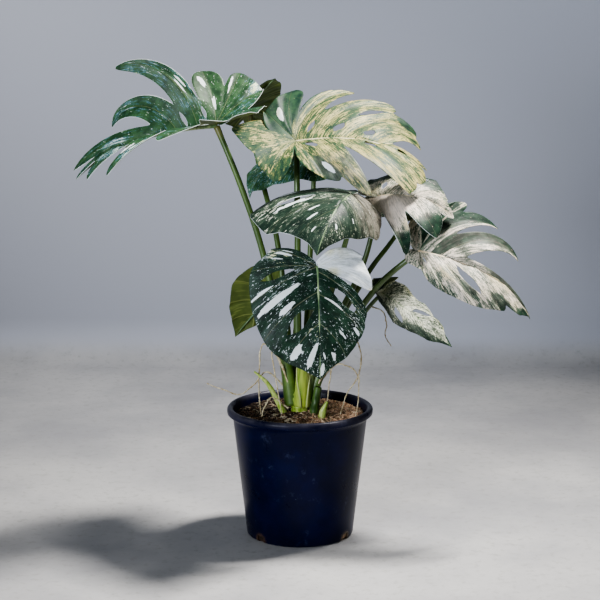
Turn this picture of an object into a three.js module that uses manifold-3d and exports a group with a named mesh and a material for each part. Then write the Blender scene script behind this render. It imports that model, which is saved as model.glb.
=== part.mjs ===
// A variegated monstera with split and windowed leaves, standing in a round plastic nursery pot.
// Millimetres, +Z up. The origin is the middle of the pot's underside, and the plant faces -Y.
// Each leaf is a thin closed blade on a stalk of its own. A blade is a fan of lobes: every lobe has one
// side vein, a curve that starts on the midrib, and the web between two veins is joined up to the cut
// that parts their lobes.
import * as THREE from 'three';
import { mergeVertices } from 'three/addons/utils/BufferGeometryUtils.js';
import Module from 'manifold-3d';

const wasm = await Module();
wasm.setup();

// Driving dimensions
const GAP = 0.35; // clear of a neighbour that a piece stands on or in
const POT = {
  height: 225,
  baseR: 91.5,
  topR: 115, // outside of the wall under the lip
  rimR: 125, // outside of the rolled lip
  wall: 2.6,
  floor: 3,
  lip: 12.5, // height of the lip
  bevel: 2, // at the foot
  segments: 36,
};
const NOTCH = { turns: [-137, -33, 43, 147], depth: 12, width: 15, height: 12 };
const SOIL = {
  top: 212,
  surface: [[98, 1], [70, -1], [40, 3], [0, 7]], // radius, and height above the top's level
};
const BLADE = {
  skin: 0.8,
  midribKeel: 2.6, // depth of the midrib below the blade, at the stalk
  veinKeel: 0.5,
  tipKeel: 0.15, // share of the midrib's depth that is left at the tip
  levels: 6, // rows along each side vein, where a leaf doesn't give its own
};
const STALK_TOP = 3.4; // from a blade's middle surface down to its stalk's end

// How the outlines of lobes, cuts and webs run
const LEVELS = 12; // levels along a side vein at which a cut or window may start or end
const SHAPE = {
  midribSteps: 48,
  veinSteps: 48,
  curlPower: 1.3, // a vein curls down more towards its end
  cutPower: 0.55, // a cut opens fast and then runs almost even
  tipPower: 2.5, // a lobe past its cut stays broad and closes late
  tipRound: 0.6,
  drawnIn: 0.62, // the last web is drawn in towards the drip tip
  lap: 0.1, // width of the free edge beside the stalk, in shares of the midrib
};

const rad = (degrees) => (degrees * Math.PI) / 180;
const vec = (a) => new THREE.Vector3(a[0], a[1], a[2]);

// Leaf forms, flat. Each list has one value per lobe from the base of a half leaf towards its tip:
//   start: where the lobe's vein starts, as a share of the midrib
//   angle, turn: the vein's angle from the midrib at its start, and how far it turns by its end
//   reach: the vein's length, in shares of the midrib
//   cut, open: the level at which the cut to the next lobe starts, and how wide that cut opens
//   windows: holes in a web, as [number of the web, from level, to level, width]
//   tipStart: where the last lobe, which ends in the drip tip, starts on the midrib
const FORMS = {
  // Deep cuts and long curved straps
  cut: {
    start: [0, 0, 0, 0.14, 0.34, 0.56],
    angle: [160, 122, 90, 72, 60, 46],
    turn: [-8, -22, -34, -38, -38, -30],
    reach: [0.4, 0.54, 0.62, 0.6, 0.52, 0.4],
    cut: [12, 8, 6, 4, 4, 6],
    open: [0, 0.35, 0.45, 0.5, 0.55, 0.45],
    windows: [[2, 2, 4, 0.35]],
    tipStart: 0.8,
  },
  // A broad heart with an almost whole margin
  heart: {
    start: [0, 0, 0, 0.2, 0.48],
    angle: [158, 120, 86, 66, 50],
    turn: [-8, -20, -30, -32, -26],
    reach: [0.42, 0.55, 0.6, 0.54, 0.42],
    cut: [12, 12, 12, 12, 12],
    open: [0, 0, 0, 0, 0],
    windows: [],
    tipStart: 0.8,
  },
};

// The leaves. base is where the stalk joins, heading is from +X towards +Y, and bend is how far the midrib
// nods by its tip, in degrees. rise and curl lift each side vein at its start and droop it by its end, and
// lean turns a lobe about its own vein by the vein's end.
const LEAVES = [
  {
    name: 'leaf_a', look: 'green', form: 'cut', levels: 12, length: 262, base: [-140, 20, 705],
    heading: 188, pitch: -4, roll: -22, bend: 46,
    left: {
      rise: [25, 32, 35, 26, 12, 8],
      curl: [10, 0, -10, -34, -50, -40],
      angle: [150, 125, 90, 66, 42, 30],
      turn: [-8, -20, -34, -38, -24, -20],
      reach: [0.4, 0.44, 0.42, 0.38, 0.5, 0.38],
    },
    right: {
      start: [0, 0, 0, 0.12, 0.26, 0.46],
      angle: [150, 124, 92, 66, 60, 20],
      turn: [-10, -10, -14, -56, -52, -14],
      reach: [0.42, 0.46, 0.46, 0.74, 0.6, 0.57],
      rise: [28, 30, 32, 64, 38, 2],
      curl: [-30, -20, -20, -84, -104, -40],
      cut: [12, 8, 4, 3, 2, 6],
      open: [0, 0.3, 0.45, 0.25, 0.5, 0.45],
      windows: [[2, 1, 3, 0.18], [3, 0, 2, 0.18]],
      lean: [0, 0, 0, 75, 24, 0],
    },
  },
  {
    name: 'leaf_b', look: 'cream', form: 'cut', levels: 12, length: 240, base: [-6, 40, 675],
    heading: -6, pitch: 8, roll: 26, bend: 58,
    left: {
      angle: [136, 108, 80, 66, 56, 56],
      turn: [-10, -30, -50, -50, -46, -46],
      reach: [0.35, 0.52, 0.75, 0.77, 0.68, 0.5],
      rise: [26, 27, 17, 13, 8, 8],
      curl: [-10, -30, -42, -45, -50, -56],
      cut: [12, 5, 5, 10, 11, 2],
      open: [0, 0.2, 0.6, 0.4, 0.3, 0.75],
      windows: [[2, 1, 3, 0.22], [3, 1, 3, 0.3], [3, 5, 9, 0.22], [4, 1, 3, 0.35]],
      tipStart: 0.7,
    },
    right: {
      angle: [184, 122, 64, 56, 46, 34],
      turn: [-6, -16, -6, -4, -10, -14],
      reach: [0.46, 0.42, 0.44, 0.67, 0.66, 0.46],
      rise: [24, 8, 5, 5, 5, 5],
      curl: [-12, -46, -50, -50, -50, -40],
      cut: [11, 3, 10, 3, 11, 8],
      open: [0.2, 0.14, 0.2, 0.6, 0.2, 0.4],
      windows: [[2, 1, 3, 0.5], [4, 1, 3, 0.35], [5, 2, 5, 0.4]],
      lap: 0.16,
    },
  },
  {
    name: 'leaf_c', look: 'green', form: 'heart', length: 180, base: [85, -50, 597],
    heading: 251, pitch: -3, roll: -8, bend: 62,
    left: {
      angle: [140, 110, 90, 66, 50],
      rise: [-10, -20, -30, -25, -20],
      curl: [-40, -60, -50, -50, -40],
      reach: [0.28, 0.44, 0.5, 0.42, 0.28],
    },
    right: {
      start: [0, 0, 0, 0.16, 0.44],
      angle: [150, 112, 90, 70, 54],
      turn: [-8, -20, -24, -24, -20],
      rise: [0, 0, -2, -10, -14],
      curl: [-30, -40, -40, -40, -30],
      reach: [0.4, 0.74, 0.98, 0.82, 0.44],
      windows: [[2, 4, 9, 0.2]],
    },
  },
  {
    name: 'leaf_d', look: 'cream', form: 'cut', length: 140, base: [133, 30, 583],
    heading: -20, pitch: 8, roll: 20, bend: 60,
    left: {
      start: [0, 0, 0.1, 0.4],
      angle: [150, 108, 78, 56],
      turn: [-8, -22, -36, -34],
      reach: [0.4, 0.58, 0.66, 0.5],
      rise: [10, 16, 14, 8],
      curl: [-30, -40, -44, -40],
      cut: [12, 12, 12, 10],
      open: [0, 0, 0, 0.25],
      windows: [[1, 2, 5, 0.35], [2, 4, 10, 0.22]],
      tipStart: 0.72,
    },
    right: {
      start: [0, 0, 0.1, 0.38],
      angle: [146, 104, 76, 54],
      turn: [-8, -20, -30, -30],
      reach: [0.24, 0.36, 0.94, 0.7],
      rise: [0, 0, 0, 0],
      curl: [-20, -40, -88, -66],
      cut: [12, 7, 5, 8],
      open: [0, 0.25, 0.36, 0.2],
      windows: [],
      tipStart: 0.72,
    },
  },
  {
    name: 'leaf_e', look: 'green', form: 'heart', length: 183, base: [28, -120, 487],
    heading: -82, pitch: -72, roll: -2, bend: 14,
    left: {
      start: [0, 0, 0.04, 0.24, 0.5],
      angle: [116, 86, 62, 62, 52],
      turn: [-30, -36, -26, -30, -28],
      reach: [0.44, 0.56, 0.6, 0.55, 0.4],
      rise: [0, 0, 0, 0, 0],
      curl: [-20, -20, -20, -20, -20],
      lap: 0.1,
      cut: [12, 4, 12, 12, 12],
      open: [0, 0.4, 0, 0, 0],
      windows: [[2, 2, 10, 0.55]],
    },
    right: {
      start: [0, 0, 0, 0.22, 0.5],
      angle: [125, 98, 74, 64, 54],
      turn: [-24, -20, -24, -30, -30],
      reach: [0.44, 0.59, 0.68, 0.66, 0.46],
      rise: [0, 0, 0, 0, 0],
      curl: [-20, -20, -20, -20, -20],
      lap: 0.05,
      windows: [[1, 3, 10, 0.46], [3, 1, 8, 0.5]],
    },
  },
  {
    name: 'leaf_f', look: 'cream', form: 'cut', length: 232, base: [200, -20, 497],
    heading: -14, pitch: -10, roll: 26, bend: 60,
    left: {
      start: [0, 0, 0, 0.16],
      angle: [106, 80, 56, 46],
      turn: [-10, -20, -26, -30],
      reach: [0.3, 0.5, 0.72, 0.72],
      rise: [45, 30, 33, 28],
      curl: [0, -20, -76, -90],
      cut: [10, 9, 4, 2],
      open: [0.2, 0.2, 0.6, 0.7],
      windows: [],
      tipStart: 0.34,
    },
    right: {
      start: [0, 0, 0.02, 0.14, 0.32, 0.54],
      angle: [120, 66, 52, 46, 38, 30],
      turn: [-10, -20, -20, -26, -26, -20],
      reach: [0.14, 0.28, 0.4, 0.5, 0.46, 0.36],
      rise: [0, -4, -4, -2, 0, 2],
      curl: [-30, -40, -40, -40, -40, -30],
      cut: [12, 12, 12, 12, 10, 12],
      open: [0, 0, 0, 0, 0.3, 0],
      windows: [[1, 2, 5, 0.4], [3, 2, 9, 0.5]],
      lap: 0.06,
    },
  },
  {
    name: 'leaf_g', look: 'cream', form: 'heart', length: 152, base: [141, 40, 414],
    heading: -14, pitch: -32, roll: 24, bend: 12,
    left: {
      start: [0, 0, 0.08, 0.26, 0.5],
      angle: [150, 100, 66, 52, 40],
      rise: [8, 8, 5, 5, 5],
      curl: [0, 0, -20, -20, -20],
      reach: [0.2, 0.26, 0.38, 0.4, 0.33],
      windows: [[3, 1, 9, 0.45]],
    },
    right: {
      start: [0, 0, 0.08, 0.26, 0.5],
      angle: [150, 110, 70, 52, 40],
      rise: [96, 30, 5, 5, 5],
      curl: [24, 0, -20, -20, -20],
      reach: [0.28, 0.32, 0.38, 0.4, 0.33],
      windows: [[2, 3, 10, 0.4]],
    },
  },
  {
    name: 'leaf_h', look: 'green', form: 'heart', length: 98, base: [-48, 70, 405],
    heading: 178, pitch: -46, roll: 72, bend: 20,
    left: {
      rise: [5, 5, 5, 5, 5],
      curl: [-20, -20, -20, -20, -20],
      reach: [0.48, 0.66, 0.76, 0.64, 0.42],
    },
    right: {
      rise: [5, 5, 5, 5, 5],
      curl: [-20, -20, -20, -20, -20],
      reach: [0.36, 0.46, 0.46, 0.36, 0.24],
    },
  },
  {
    name: 'leaf_i', look: 'green', form: 'heart', length: 148, base: [24, 120, 640],
    heading: 204, pitch: 2, roll: -14, bend: 84,
    left: {
      rise: [0, 0, 0, 0, 0],
      curl: [-40, -40, -40, -40, -30],
      reach: [0.4, 0.48, 0.5, 0.48, 0.4],
    },
    right: {
      rise: [0, 0, 0, 0, 0],
      curl: [-40, -40, -40, -40, -30],
    },
  },
  {
    name: 'leaf_j', look: 'green', form: 'heart', length: 95, base: [-89, 150, 716],
    heading: -50, pitch: 48, roll: 0, bend: 20,
    left: {
      rise: [5, 5, 5, 5, 5],
      curl: [-30, -30, -30, -30, -30],
    },
    right: {
      rise: [5, 5, 5, 5, 5],
      curl: [-30, -30, -30, -30, -30],
    },
  },
  {
    name: 'leaf_k', look: 'green', form: 'cut', length: 105, base: [193, 90, 548],
    heading: 60, pitch: 10, roll: 0, bend: 60,
    left: {
      rise: [10, 10, 10, 10, 10, 10],
      curl: [-40, -40, -40, -40, -40, -30],
    },
    right: {
      rise: [10, 10, 10, 10, 10, 10],
      curl: [-40, -40, -40, -40, -40, -30],
    },
  },
];

// The crown in the soil that every stalk grows from
const STEM = { points: [[0, 0, 185], [0, -2, 222], [-1, -3, 240], [0, 0, 262]], radii: [11, 15, 17, 11] };

// The leaf stalks: points from the crown towards the leaf, and the radius at each and at the leaf.
// The sheath at the crown is wide. Each stalk is cut clear of those before it.
const STALKS = {
  a: { points: [[-13, -3, 228], [-26, 0, 315], [-64, 10, 493], [-100, 14, 603]], radii: [12, 9, 5.2, 5, 4.6] },
  e: { points: [[4, -15, 230], [6, -26, 300], [19, -66, 390], [25, -98, 455]], radii: [13, 10, 4.8, 4, 3.6] },
  b: { points: [[-1, 13, 236], [-4, 22, 311], [-4, 20, 500], [-5, 20, 600]], radii: [9, 7.5, 5.2, 5, 4.4] },
  c: { points: [[12, -10, 240], [20, -13, 300], [66, 0, 470], [83, -22, 541]], radii: [9, 6.5, 4.6, 4.2, 4] },
  f: { points: [[17, -6, 236], [40, -6, 292], [129, 0, 430], [172, -12, 473]], radii: [8.5, 6.5, 5, 4.8, 4.4] },
  d: { points: [[15, 2, 246], [34, 8, 310], [108, 25, 468], [125, 30, 533]], radii: [7.5, 6, 4.6, 4.2, 4] },
  j: { points: [[-9, 12, 240], [-17, 30, 300], [-39, 80, 495], [-70, 146, 610]], radii: [8, 6.5, 4.8, 4.4, 4] },
  i: { points: [[7, 14, 240], [10, 38, 310], [18, 80, 487], [23, 108, 572]], radii: [7.5, 6, 4.6, 4.2, 4] },
  g: { points: [[17, 6, 236], [46, 24, 290], [87, 40, 345], [122, 44, 392]], radii: [7, 5.5, 4, 3.6, 3.4] },
  k: { points: [[13, 10, 244], [34, 28, 305], [123, 46, 457], [152, 62, 492]], radii: [6.5, 5.5, 4.4, 4, 3.6] },
  h: { points: [[-14, 6, 244], [-28, 22, 300], [-36, 50, 360], [-43, 64, 388]], radii: [6, 5, 3.8, 3.4, 3.2] },
};

// Young shoots, the stub of an old stalk, and the roots in the air: those that arch back end on the soil
const THIN = {
  shoot_left: {
    points: [[-24, -12, 208], [-40, -14, 240], [-56, -14, 268], [-78, -14, 288]],
    radii: [6, 5, 3.5, 1.5],
  },
  shoot_right: { points: [[36, -34, 200], [39, -37, 224], [46, -40, 242]], radii: [7, 6.2, 2] },
  stub: { points: [[22, -16, 205], [27, -19, 240], [31, -20, 262]], radii: [8, 7, 6] },
  root_1: {
    points: [[-20, 2, 256], [-44, -6, 322], [-62, -8, 336], [-70, -8, 284], [-66, -8, 200]],
    radii: [1.6, 1.4, 1.3, 1.1, 1],
  },
  root_2: {
    points: [[-18, -10, 262], [-40, -20, 318], [-50, -20, 330], [-44, -22, 290], [-28, -26, 200]],
    radii: [1.6, 1.4, 1.3, 1.1, 1],
  },
  root_3: {
    points: [[-20, 4, 250], [-58, 2, 284], [-78, 2, 262], [-104, 4, 244], [-136, 6, 252], [-160, 8, 262]],
    radii: [1.6, 1.3, 1.2, 1, 1, 0.8],
  },
  root_4: {
    points: [[-20, -14, 224], [-50, -20, 243], [-60, -24, 230], [-68, -28, 200]],
    radii: [1.6, 1.4, 1.3, 1.1],
  },
  root_5: {
    points: [[30, -4, 262], [70, -6, 326], [94, -8, 338], [101, -8, 280], [80, -8, 246], [66, -8, 200]],
    radii: [1.6, 1.4, 1.3, 1.3, 1.1, 1],
  },
  root_6: {
    points: [[26, -10, 256], [46, -20, 290], [56, -22, 298], [50, -22, 262], [42, -22, 200]],
    radii: [1.6, 1.4, 1.3, 1.1, 1],
  },
  root_7: {
    points: [[22, 2, 246], [64, -14, 300], [98, -20, 286], [100, -22, 246], [92, -24, 200]],
    radii: [1.6, 1.4, 1.2, 1, 1],
  },
  root_8: {
    points: [[120, 44, 390], [143, 20, 384], [150, 16, 366], [146, 14, 346], [156, 12, 326]],
    radii: [1.3, 1.1, 1, 0.9, 0.8],
  },
};

// Colour and roughness
const LOOKS = {
  pot: [0x1b2442, 0.45],
  soil: [0x4a3527, 0.95],
  stem: [0x6f8f3a, 0.6],
  stalk: [0x4c6130, 0.5],
  root: [0x9a8a63, 0.9],
  shoot: [0x8fae55, 0.6],
  stub: [0x6b7d3a, 0.6],
  green: [0x39523a, 0.4],
  cream: [0xd9d7c2, 0.45],
};

// A frame turned about one of its own axes, in degrees
function turned(frame, axis, degrees) {
  const turn = new THREE.Quaternion().setFromAxisAngle(frame[axis].clone(), rad(degrees));
  return {
    at: frame.at.clone(),
    along: frame.along.clone().applyQuaternion(turn),
    side: frame.side.clone().applyQuaternion(turn),
    up: frame.up.clone().applyQuaternion(turn),
  };
}

// The frame at any share of a leaf's midrib, from the stalk to the tip: heading, pitch, roll, then the bend
function midribOf(leaf) {
  const heading = rad(leaf.heading);
  let frame = {
    at: vec(leaf.base),
    along: new THREE.Vector3(Math.cos(heading), Math.sin(heading), 0),
    side: new THREE.Vector3(-Math.sin(heading), Math.cos(heading), 0),
    up: new THREE.Vector3(0, 0, 1),
  };
  frame = turned(frame, 'side', -leaf.pitch);
  frame = turned(frame, 'along', leaf.roll);
  const steps = SHAPE.midribSteps;
  const frames = [frame];
  for (let i = 0; i < steps; i += 1) {
    const middle = (i + 0.5) / steps;
    const next = turned(frame, 'side', (leaf.bend * 1.5 * Math.sqrt(middle)) / steps); // more towards the tip
    next.at = frame.at.clone().addScaledVector(next.along, leaf.length / steps);
    frames.push(next);
    frame = next;
  }
  return (share) => {
    const place = Math.min(1, share) * steps;
    const i = Math.min(steps - 1, Math.floor(place));
    const mixed = {};
    for (const key of ['at', 'along', 'side', 'up']) {
      mixed[key] = frames[i][key].clone().lerp(frames[i + 1][key], place - i);
      if (key !== 'at') mixed[key].normalize();
    }
    return mixed;
  };
}

// One side vein at each level: its flat line, and the same line in space with the blade's directions there.
// The vein numbered past the last lobe is the midrib's own end.
function veinOf(leaf, half, midrib, hand, k, levels) {
  const terminal = k === half.start.length;
  const start = terminal ? half.tipStart : half.start[k];
  const length = leaf.length * (terminal ? 1 - start : half.reach[k]);
  const angle = terminal ? 0 : half.angle[k];
  const turn = terminal ? 0 : half.turn[k];
  const rise = terminal ? 0 : half.rise[k];
  const curl = terminal ? 0 : half.curl[k];
  const lean = terminal ? 0 : half.lean[k] || 0;
  const root = midrib(start);
  const steps = SHAPE.veinSteps;
  const flat = new THREE.Vector2(0, leaf.length * start);
  const at = root.at.clone();
  const line = [];
  for (let i = 0; i <= steps; i += 1) {
    const t = i / steps;
    const a = rad(angle + turn * t);
    const b = rad(rise + curl * t ** SHAPE.curlPower);
    const here = terminal ? midrib(start + (1 - start) * t) : root;
    const along = here.along.clone().multiplyScalar(Math.cos(a) * Math.cos(b))
      .addScaledVector(here.side, hand * Math.sin(a) * Math.cos(b))
      .addScaledVector(here.up, Math.sin(b));
    const levelAcross = here.along.clone().multiplyScalar(Math.sin(a))
      .addScaledVector(here.side, -hand * Math.cos(a));
    const across = levelAcross.clone().multiplyScalar(Math.cos(rad(lean * t)))
      .addScaledVector(along.clone().cross(levelAcross), hand * Math.sin(rad(lean * t)));
    if (i % (steps / levels) === 0)
      line.push({
        flat: flat.clone(),
        flatAlong: new THREE.Vector2(Math.sin(a), Math.cos(a)),
        flatAcross: new THREE.Vector2(-Math.cos(a), Math.sin(a)),
        at: (terminal ? here.at : at).clone(),
        along,
        across,
      });
    const aNext = rad(angle + turn * (t + 0.5 / steps));
    flat.x += (Math.sin(aNext) * length) / steps;
    flat.y += (Math.cos(aNext) * length) / steps;
    at.addScaledVector(along, length / steps);
  }
  return { start, line };
}

// How far the web between two lobes is open at a level: 0 where it is joined
function openingOf(half, web, level) {
  const cut = half.cut[web];
  if (level > cut) return half.open[web] * ((level - cut) / (LEVELS - cut)) ** SHAPE.cutPower;
  const window = half.windows.find(([place, from, to]) => place === web && level > from && level < to);
  if (!window) return 0;
  const [, from, to, width] = window;
  return width * Math.sin((Math.PI * (level - from)) / (to - from));
}

// The flat point of a web at a level, from 0 on the vein before it to 1 on the vein after it
function webPoint(veins, web, share, i) {
  const b = veins[web].line[i].flat;
  const c = veins[web + 1].line[i].flat;
  if (web + 1 === veins.length - 1) {
    const drawn = b.clone().lerp(c, 0.5);
    drawn.x *= SHAPE.drawnIn;
    return b.clone().multiplyScalar((1 - share) ** 2).addScaledVector(drawn, 2 * share * (1 - share))
      .addScaledVector(c, share ** 2);
  }
  const a = web > 0 ? veins[web - 1].line[i].flat : b.clone().multiplyScalar(2).sub(c);
  const d = veins[web + 2].line[i].flat;
  const s = share;
  return a.clone().multiplyScalar((-s + 2 * s * s - s ** 3) / 2)
    .addScaledVector(b, (2 - 5 * s * s + 3 * s ** 3) / 2)
    .addScaledVector(c, (s + 4 * s * s - 3 * s ** 3) / 2)
    .addScaledVector(d, (-s * s + s ** 3) / 2);
}

// Where a flat point near a vein lies in space
function placeOn(vein, flatPoint, i) {
  const v = vein.line[i];
  const off = flatPoint.clone().sub(v.flat);
  return v.at.clone().addScaledVector(v.along, off.dot(v.flatAlong))
    .addScaledVector(v.across, off.dot(v.flatAcross));
}

// A point of lobe k at row i, with q from -1 at the cut before the lobe to 1 at the cut after it.
// step is the number of levels in a row.
function lobePoint(leaf, half, veins, k, q, i, step) {
  const vein = veins[k];
  const level = i * step;
  const side = Math.abs(q);
  const web = q < 0 ? k - 1 : k;
  if (web < 0) {
    // The free edge beside the stalk
    const width = half.lap * leaf.length * Math.sin(Math.PI * (0.12 + (0.83 * level) / LEVELS));
    const { flat, flatAcross } = vein.line[i];
    return placeOn(vein, flat.clone().addScaledVector(flatAcross, -width * side), i);
  }
  const cut = half.cut[web];
  const rest = Math.min(i, Math.round(cut / step));
  const meeting = webPoint(veins, web, 0.5, rest);
  const slip = placeOn(veins[q < 0 ? k - 1 : k + 1], meeting, rest).sub(placeOn(vein, meeting, rest));
  const past = Math.max(0, level - cut) / (LEVELS - cut || 1);
  const narrowed = (1 - past ** SHAPE.tipPower) ** SHAPE.tipRound;
  const share = (side / 2) * (1 - openingOf(half, web, level)) * narrowed;
  const flatPoint = webPoint(veins, web, q < 0 ? 1 - share : share, i);
  return placeOn(vein, flatPoint, i).addScaledVector(slip, share);
}

// The depth of the midrib below the blade, less towards the tip
function keelAt(share) {
  return BLADE.midribKeel * (1 - (1 - BLADE.tipKeel) * share);
}

// The middle surface of a leaf's blade: points, triangles with the upper side out, and a keel's depth at
// each point. columns is the number of strips on each side of a vein.
function bladeOf(leaf, columns, levels) {
  const midrib = midribOf(leaf);
  const step = LEVELS / levels;
  const points = [];
  const keels = [];
  const faces = [];
  const found = new Map();
  const shares = new Map();
  const numberOf = (p, keel, share) => {
    const key = `${p.x.toFixed(2)} ${p.y.toFixed(2)} ${p.z.toFixed(2)}`;
    if (!found.has(key)) {
      found.set(key, points.length);
      points.push(p);
      keels.push(keel);
    }
    if (share !== undefined) shares.set(found.get(key), share);
    return found.get(key);
  };
  for (const hand of [1, -1]) {
    const half = { lap: SHAPE.lap, lean: [], ...FORMS[leaf.form], ...(hand > 0 ? leaf.left : leaf.right) };
    const count = half.start.length;
    const veins = [];
    for (let k = 0; k <= count; k += 1) veins.push(veinOf(leaf, half, midrib, hand, k, levels));
    for (let k = 0; k <= count; k += 1) {
      const columnsHere = k === count ? columns : 2 * columns;
      const grid = [];
      for (let c = 0; c <= columnsHere; c += 1) {
        const q = c / columns - 1;
        const web = q < 0 ? k - 1 : k;
        const next = web < 0 ? 0 : veins[Math.min(count, q < 0 ? web : web + 1)].start;
        const from = veins[k].start;
        const rootShare = q === 0 ? from : from + ((next - from) / 2) * Math.abs(q);
        const column = [numberOf(midrib(rootShare).at, keelAt(rootShare), rootShare)];
        for (let i = 1; i <= levels; i += 1) {
          const along = from + ((1 - from) * i) / levels;
          const onVein = veins[k].line[i].at.clone();
          if (q === 0 && k === count) column.push(numberOf(midrib(along).at, keelAt(along), along));
          else if (q === 0) column.push(numberOf(onVein, BLADE.veinKeel * (1 - i / levels)));
          else column.push(numberOf(lobePoint(leaf, half, veins, k, q, i, step), 0));
        }
        grid.push(column);
      }
      for (let c = 0; c < columnsHere; c += 1)
        for (let i = 0; i < levels; i += 1) {
          const [p, r, s, t] = [grid[c][i], grid[c][i + 1], grid[c + 1][i + 1], grid[c + 1][i]];
          for (const [a, b, d] of k === count ? [[p, r, t], [r, s, t]] : [[p, r, s], [p, s, t]])
            if (a !== b && b !== d && a !== d) faces.push(hand > 0 ? [a, d, b] : [a, b, d]);
        }
    }
  }
  // The two halves meet at every point of the midrib
  const onMidrib = [...shares.keys()].sort((a, b) => shares.get(a) - shares.get(b));
  const place = new Map(onMidrib.map((number, n) => [number, n]));
  const whole = faces.flatMap(([a, b, c]) => {
    for (const [u, v, w] of [[a, b, c], [b, c, a], [c, a, b]]) {
      const [from, to] = [place.get(u), place.get(v)];
      if (from === undefined || to === undefined || Math.abs(to - from) < 2) continue;
      const chain = from < to ? onMidrib.slice(from, to + 1) : onMidrib.slice(to, from + 1).reverse();
      return chain.slice(1).map((next, n) => [chain[n], next, w]);
    }
    return [[a, b, c]];
  });
  return { points, faces: whole, keels };
}

// A closed body around a leaf's blade, grown all round by a distance for the pieces cut to clear it
function bladeSolid(leaf, grown = 0) {
  const { points, faces, keels } = bladeOf(leaf, 1, leaf.levels || BLADE.levels);
  const normals = points.map(() => new THREE.Vector3());
  const turnOf = ([a, b, c]) => points[b].clone().sub(points[a]).cross(points[c].clone().sub(points[a]));
  for (const face of faces) for (const n of face) normals[n].add(turnOf(face));
  normals.forEach((normal) => normal.normalize());
  const edges = new Set(faces.flatMap(([a, b, c]) => [`${a} ${b}`, `${b} ${c}`, `${c} ${a}`]));
  const margin = [...edges].map((edge) => edge.split(' ').map(Number))
    .filter(([a, b]) => !edges.has(`${b} ${a}`));
  const outward = points.map(() => new THREE.Vector3());
  for (const [a, b] of margin) {
    const out = points[b].clone().sub(points[a]).cross(normals[a]).normalize();
    outward[a].add(out);
    outward[b].add(out);
  }
  const marginGrown = 1.4 * grown; // reaches the distance in corners too
  const shifted = (n, height) => points[n].clone().addScaledVector(normals[n], height)
    .addScaledVector(outward[n].clone().normalize(), marginGrown).toArray();
  const half = BLADE.skin / 2 + grown;
  const upper = points.flatMap((p, n) => shifted(n, half));
  const under = points.flatMap((p, n) => shifted(n, -half - keels[n]));
  const lower = points.length;
  const index = faces.flatMap(([a, b, c]) => [a, b, c, lower + a, lower + c, lower + b]);
  for (const [a, b] of margin) index.push(a, lower + a, lower + b, a, lower + b, b);
  return bodyOf([...upper, ...under], index);
}

function bodyOf(positions, index) {
  const geometry = new THREE.BufferGeometry();
  geometry.setAttribute('position', new THREE.Float32BufferAttribute(positions, 3));
  geometry.setIndex(index);
  return geometry;
}

// A closed round bar through points, with a radius at each point
function barOf(points, radii, { sides, steps, added = 0 }) {
  const path = new THREE.CatmullRomCurve3(points.map(vec), false, 'centripetal');
  const spans = points.length - 1;
  const positions = [];
  const index = [];
  let across = new THREE.Vector3(0, 1, 0);
  for (let i = 0; i <= steps; i += 1) {
    const t = i / steps;
    const place = Math.min(spans - 1e-9, t * spans);
    const low = Math.floor(place);
    const radius = radii[low] + (radii[low + 1] - radii[low]) * (place - low) + added;
    const along = path.getTangent(t);
    across = across.clone().addScaledVector(along, -across.dot(along)).normalize();
    const other = along.clone().cross(across);
    const middle = path.getPoint(t).addScaledVector(along, i === 0 ? -added : i === steps ? added : 0);
    for (let s = 0; s < sides; s += 1) {
      const turn = (2 * Math.PI * s) / sides;
      const p = middle.clone().addScaledVector(across, radius * Math.cos(turn))
        .addScaledVector(other, radius * Math.sin(turn));
      positions.push(p.x, p.y, p.z);
    }
  }
  for (let s = 0; s < sides; s += 1) {
    const t = (s + 1) % sides;
    for (let i = 0; i < steps; i += 1) {
      const [a, b] = [i * sides, (i + 1) * sides];
      index.push(a + s, a + t, b + t, a + s, b + t, b + s);
    }
    if (s > 0 && s < sides - 1) {
      const top = steps * sides;
      index.push(0, s + 1, s, top, top + s, top + s + 1);
    }
  }
  return bodyOf(positions, index);
}

// A body turned from a profile of [radius, height] points that starts and ends on the axis
function turnedBody(profile) {
  const geometry = new THREE.LatheGeometry(profile.map(([r, z]) => new THREE.Vector2(r, z)), POT.segments);
  geometry.rotateX(Math.PI / 2);
  return geometry;
}

function solidFrom(geometry) {
  const bare = new THREE.BufferGeometry();
  bare.setAttribute('position', geometry.getAttribute('position'));
  bare.setIndex(geometry.index);
  const merged = mergeVertices(bare, 1e-3);
  const vertProperties = merged.attributes.position.array;
  const triVerts = new Uint32Array(merged.index.array);
  return new wasm.Manifold(new wasm.Mesh({ numProp: 3, vertProperties, triVerts }));
}

function geometryFrom(solid) {
  const { vertProperties, triVerts } = solid.getMesh();
  return bodyOf([...vertProperties], [...triVerts]);
}

// The largest connected piece of a body after the cutters are taken out of it
function cutClear(body, cutters) {
  let left = body;
  for (const cutter of cutters) left = left.subtract(cutter);
  const [largest] = left.decompose().sort((a, b) => b.volume() - a.volume());
  return largest.setTolerance(0.02);
}

const group = new THREE.Group();

function addPiece(name, geometry, look) {
  const bare = bodyOf([...geometry.getAttribute('position').array], [...geometry.index.array]);
  bare.computeVertexNormals();
  const [color, roughness] = LOOKS[look];
  const mesh = new THREE.Mesh(bare, new THREE.MeshStandardMaterial({ color, roughness, metalness: 0 }));
  mesh.name = name;
  group.add(mesh);
}

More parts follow.
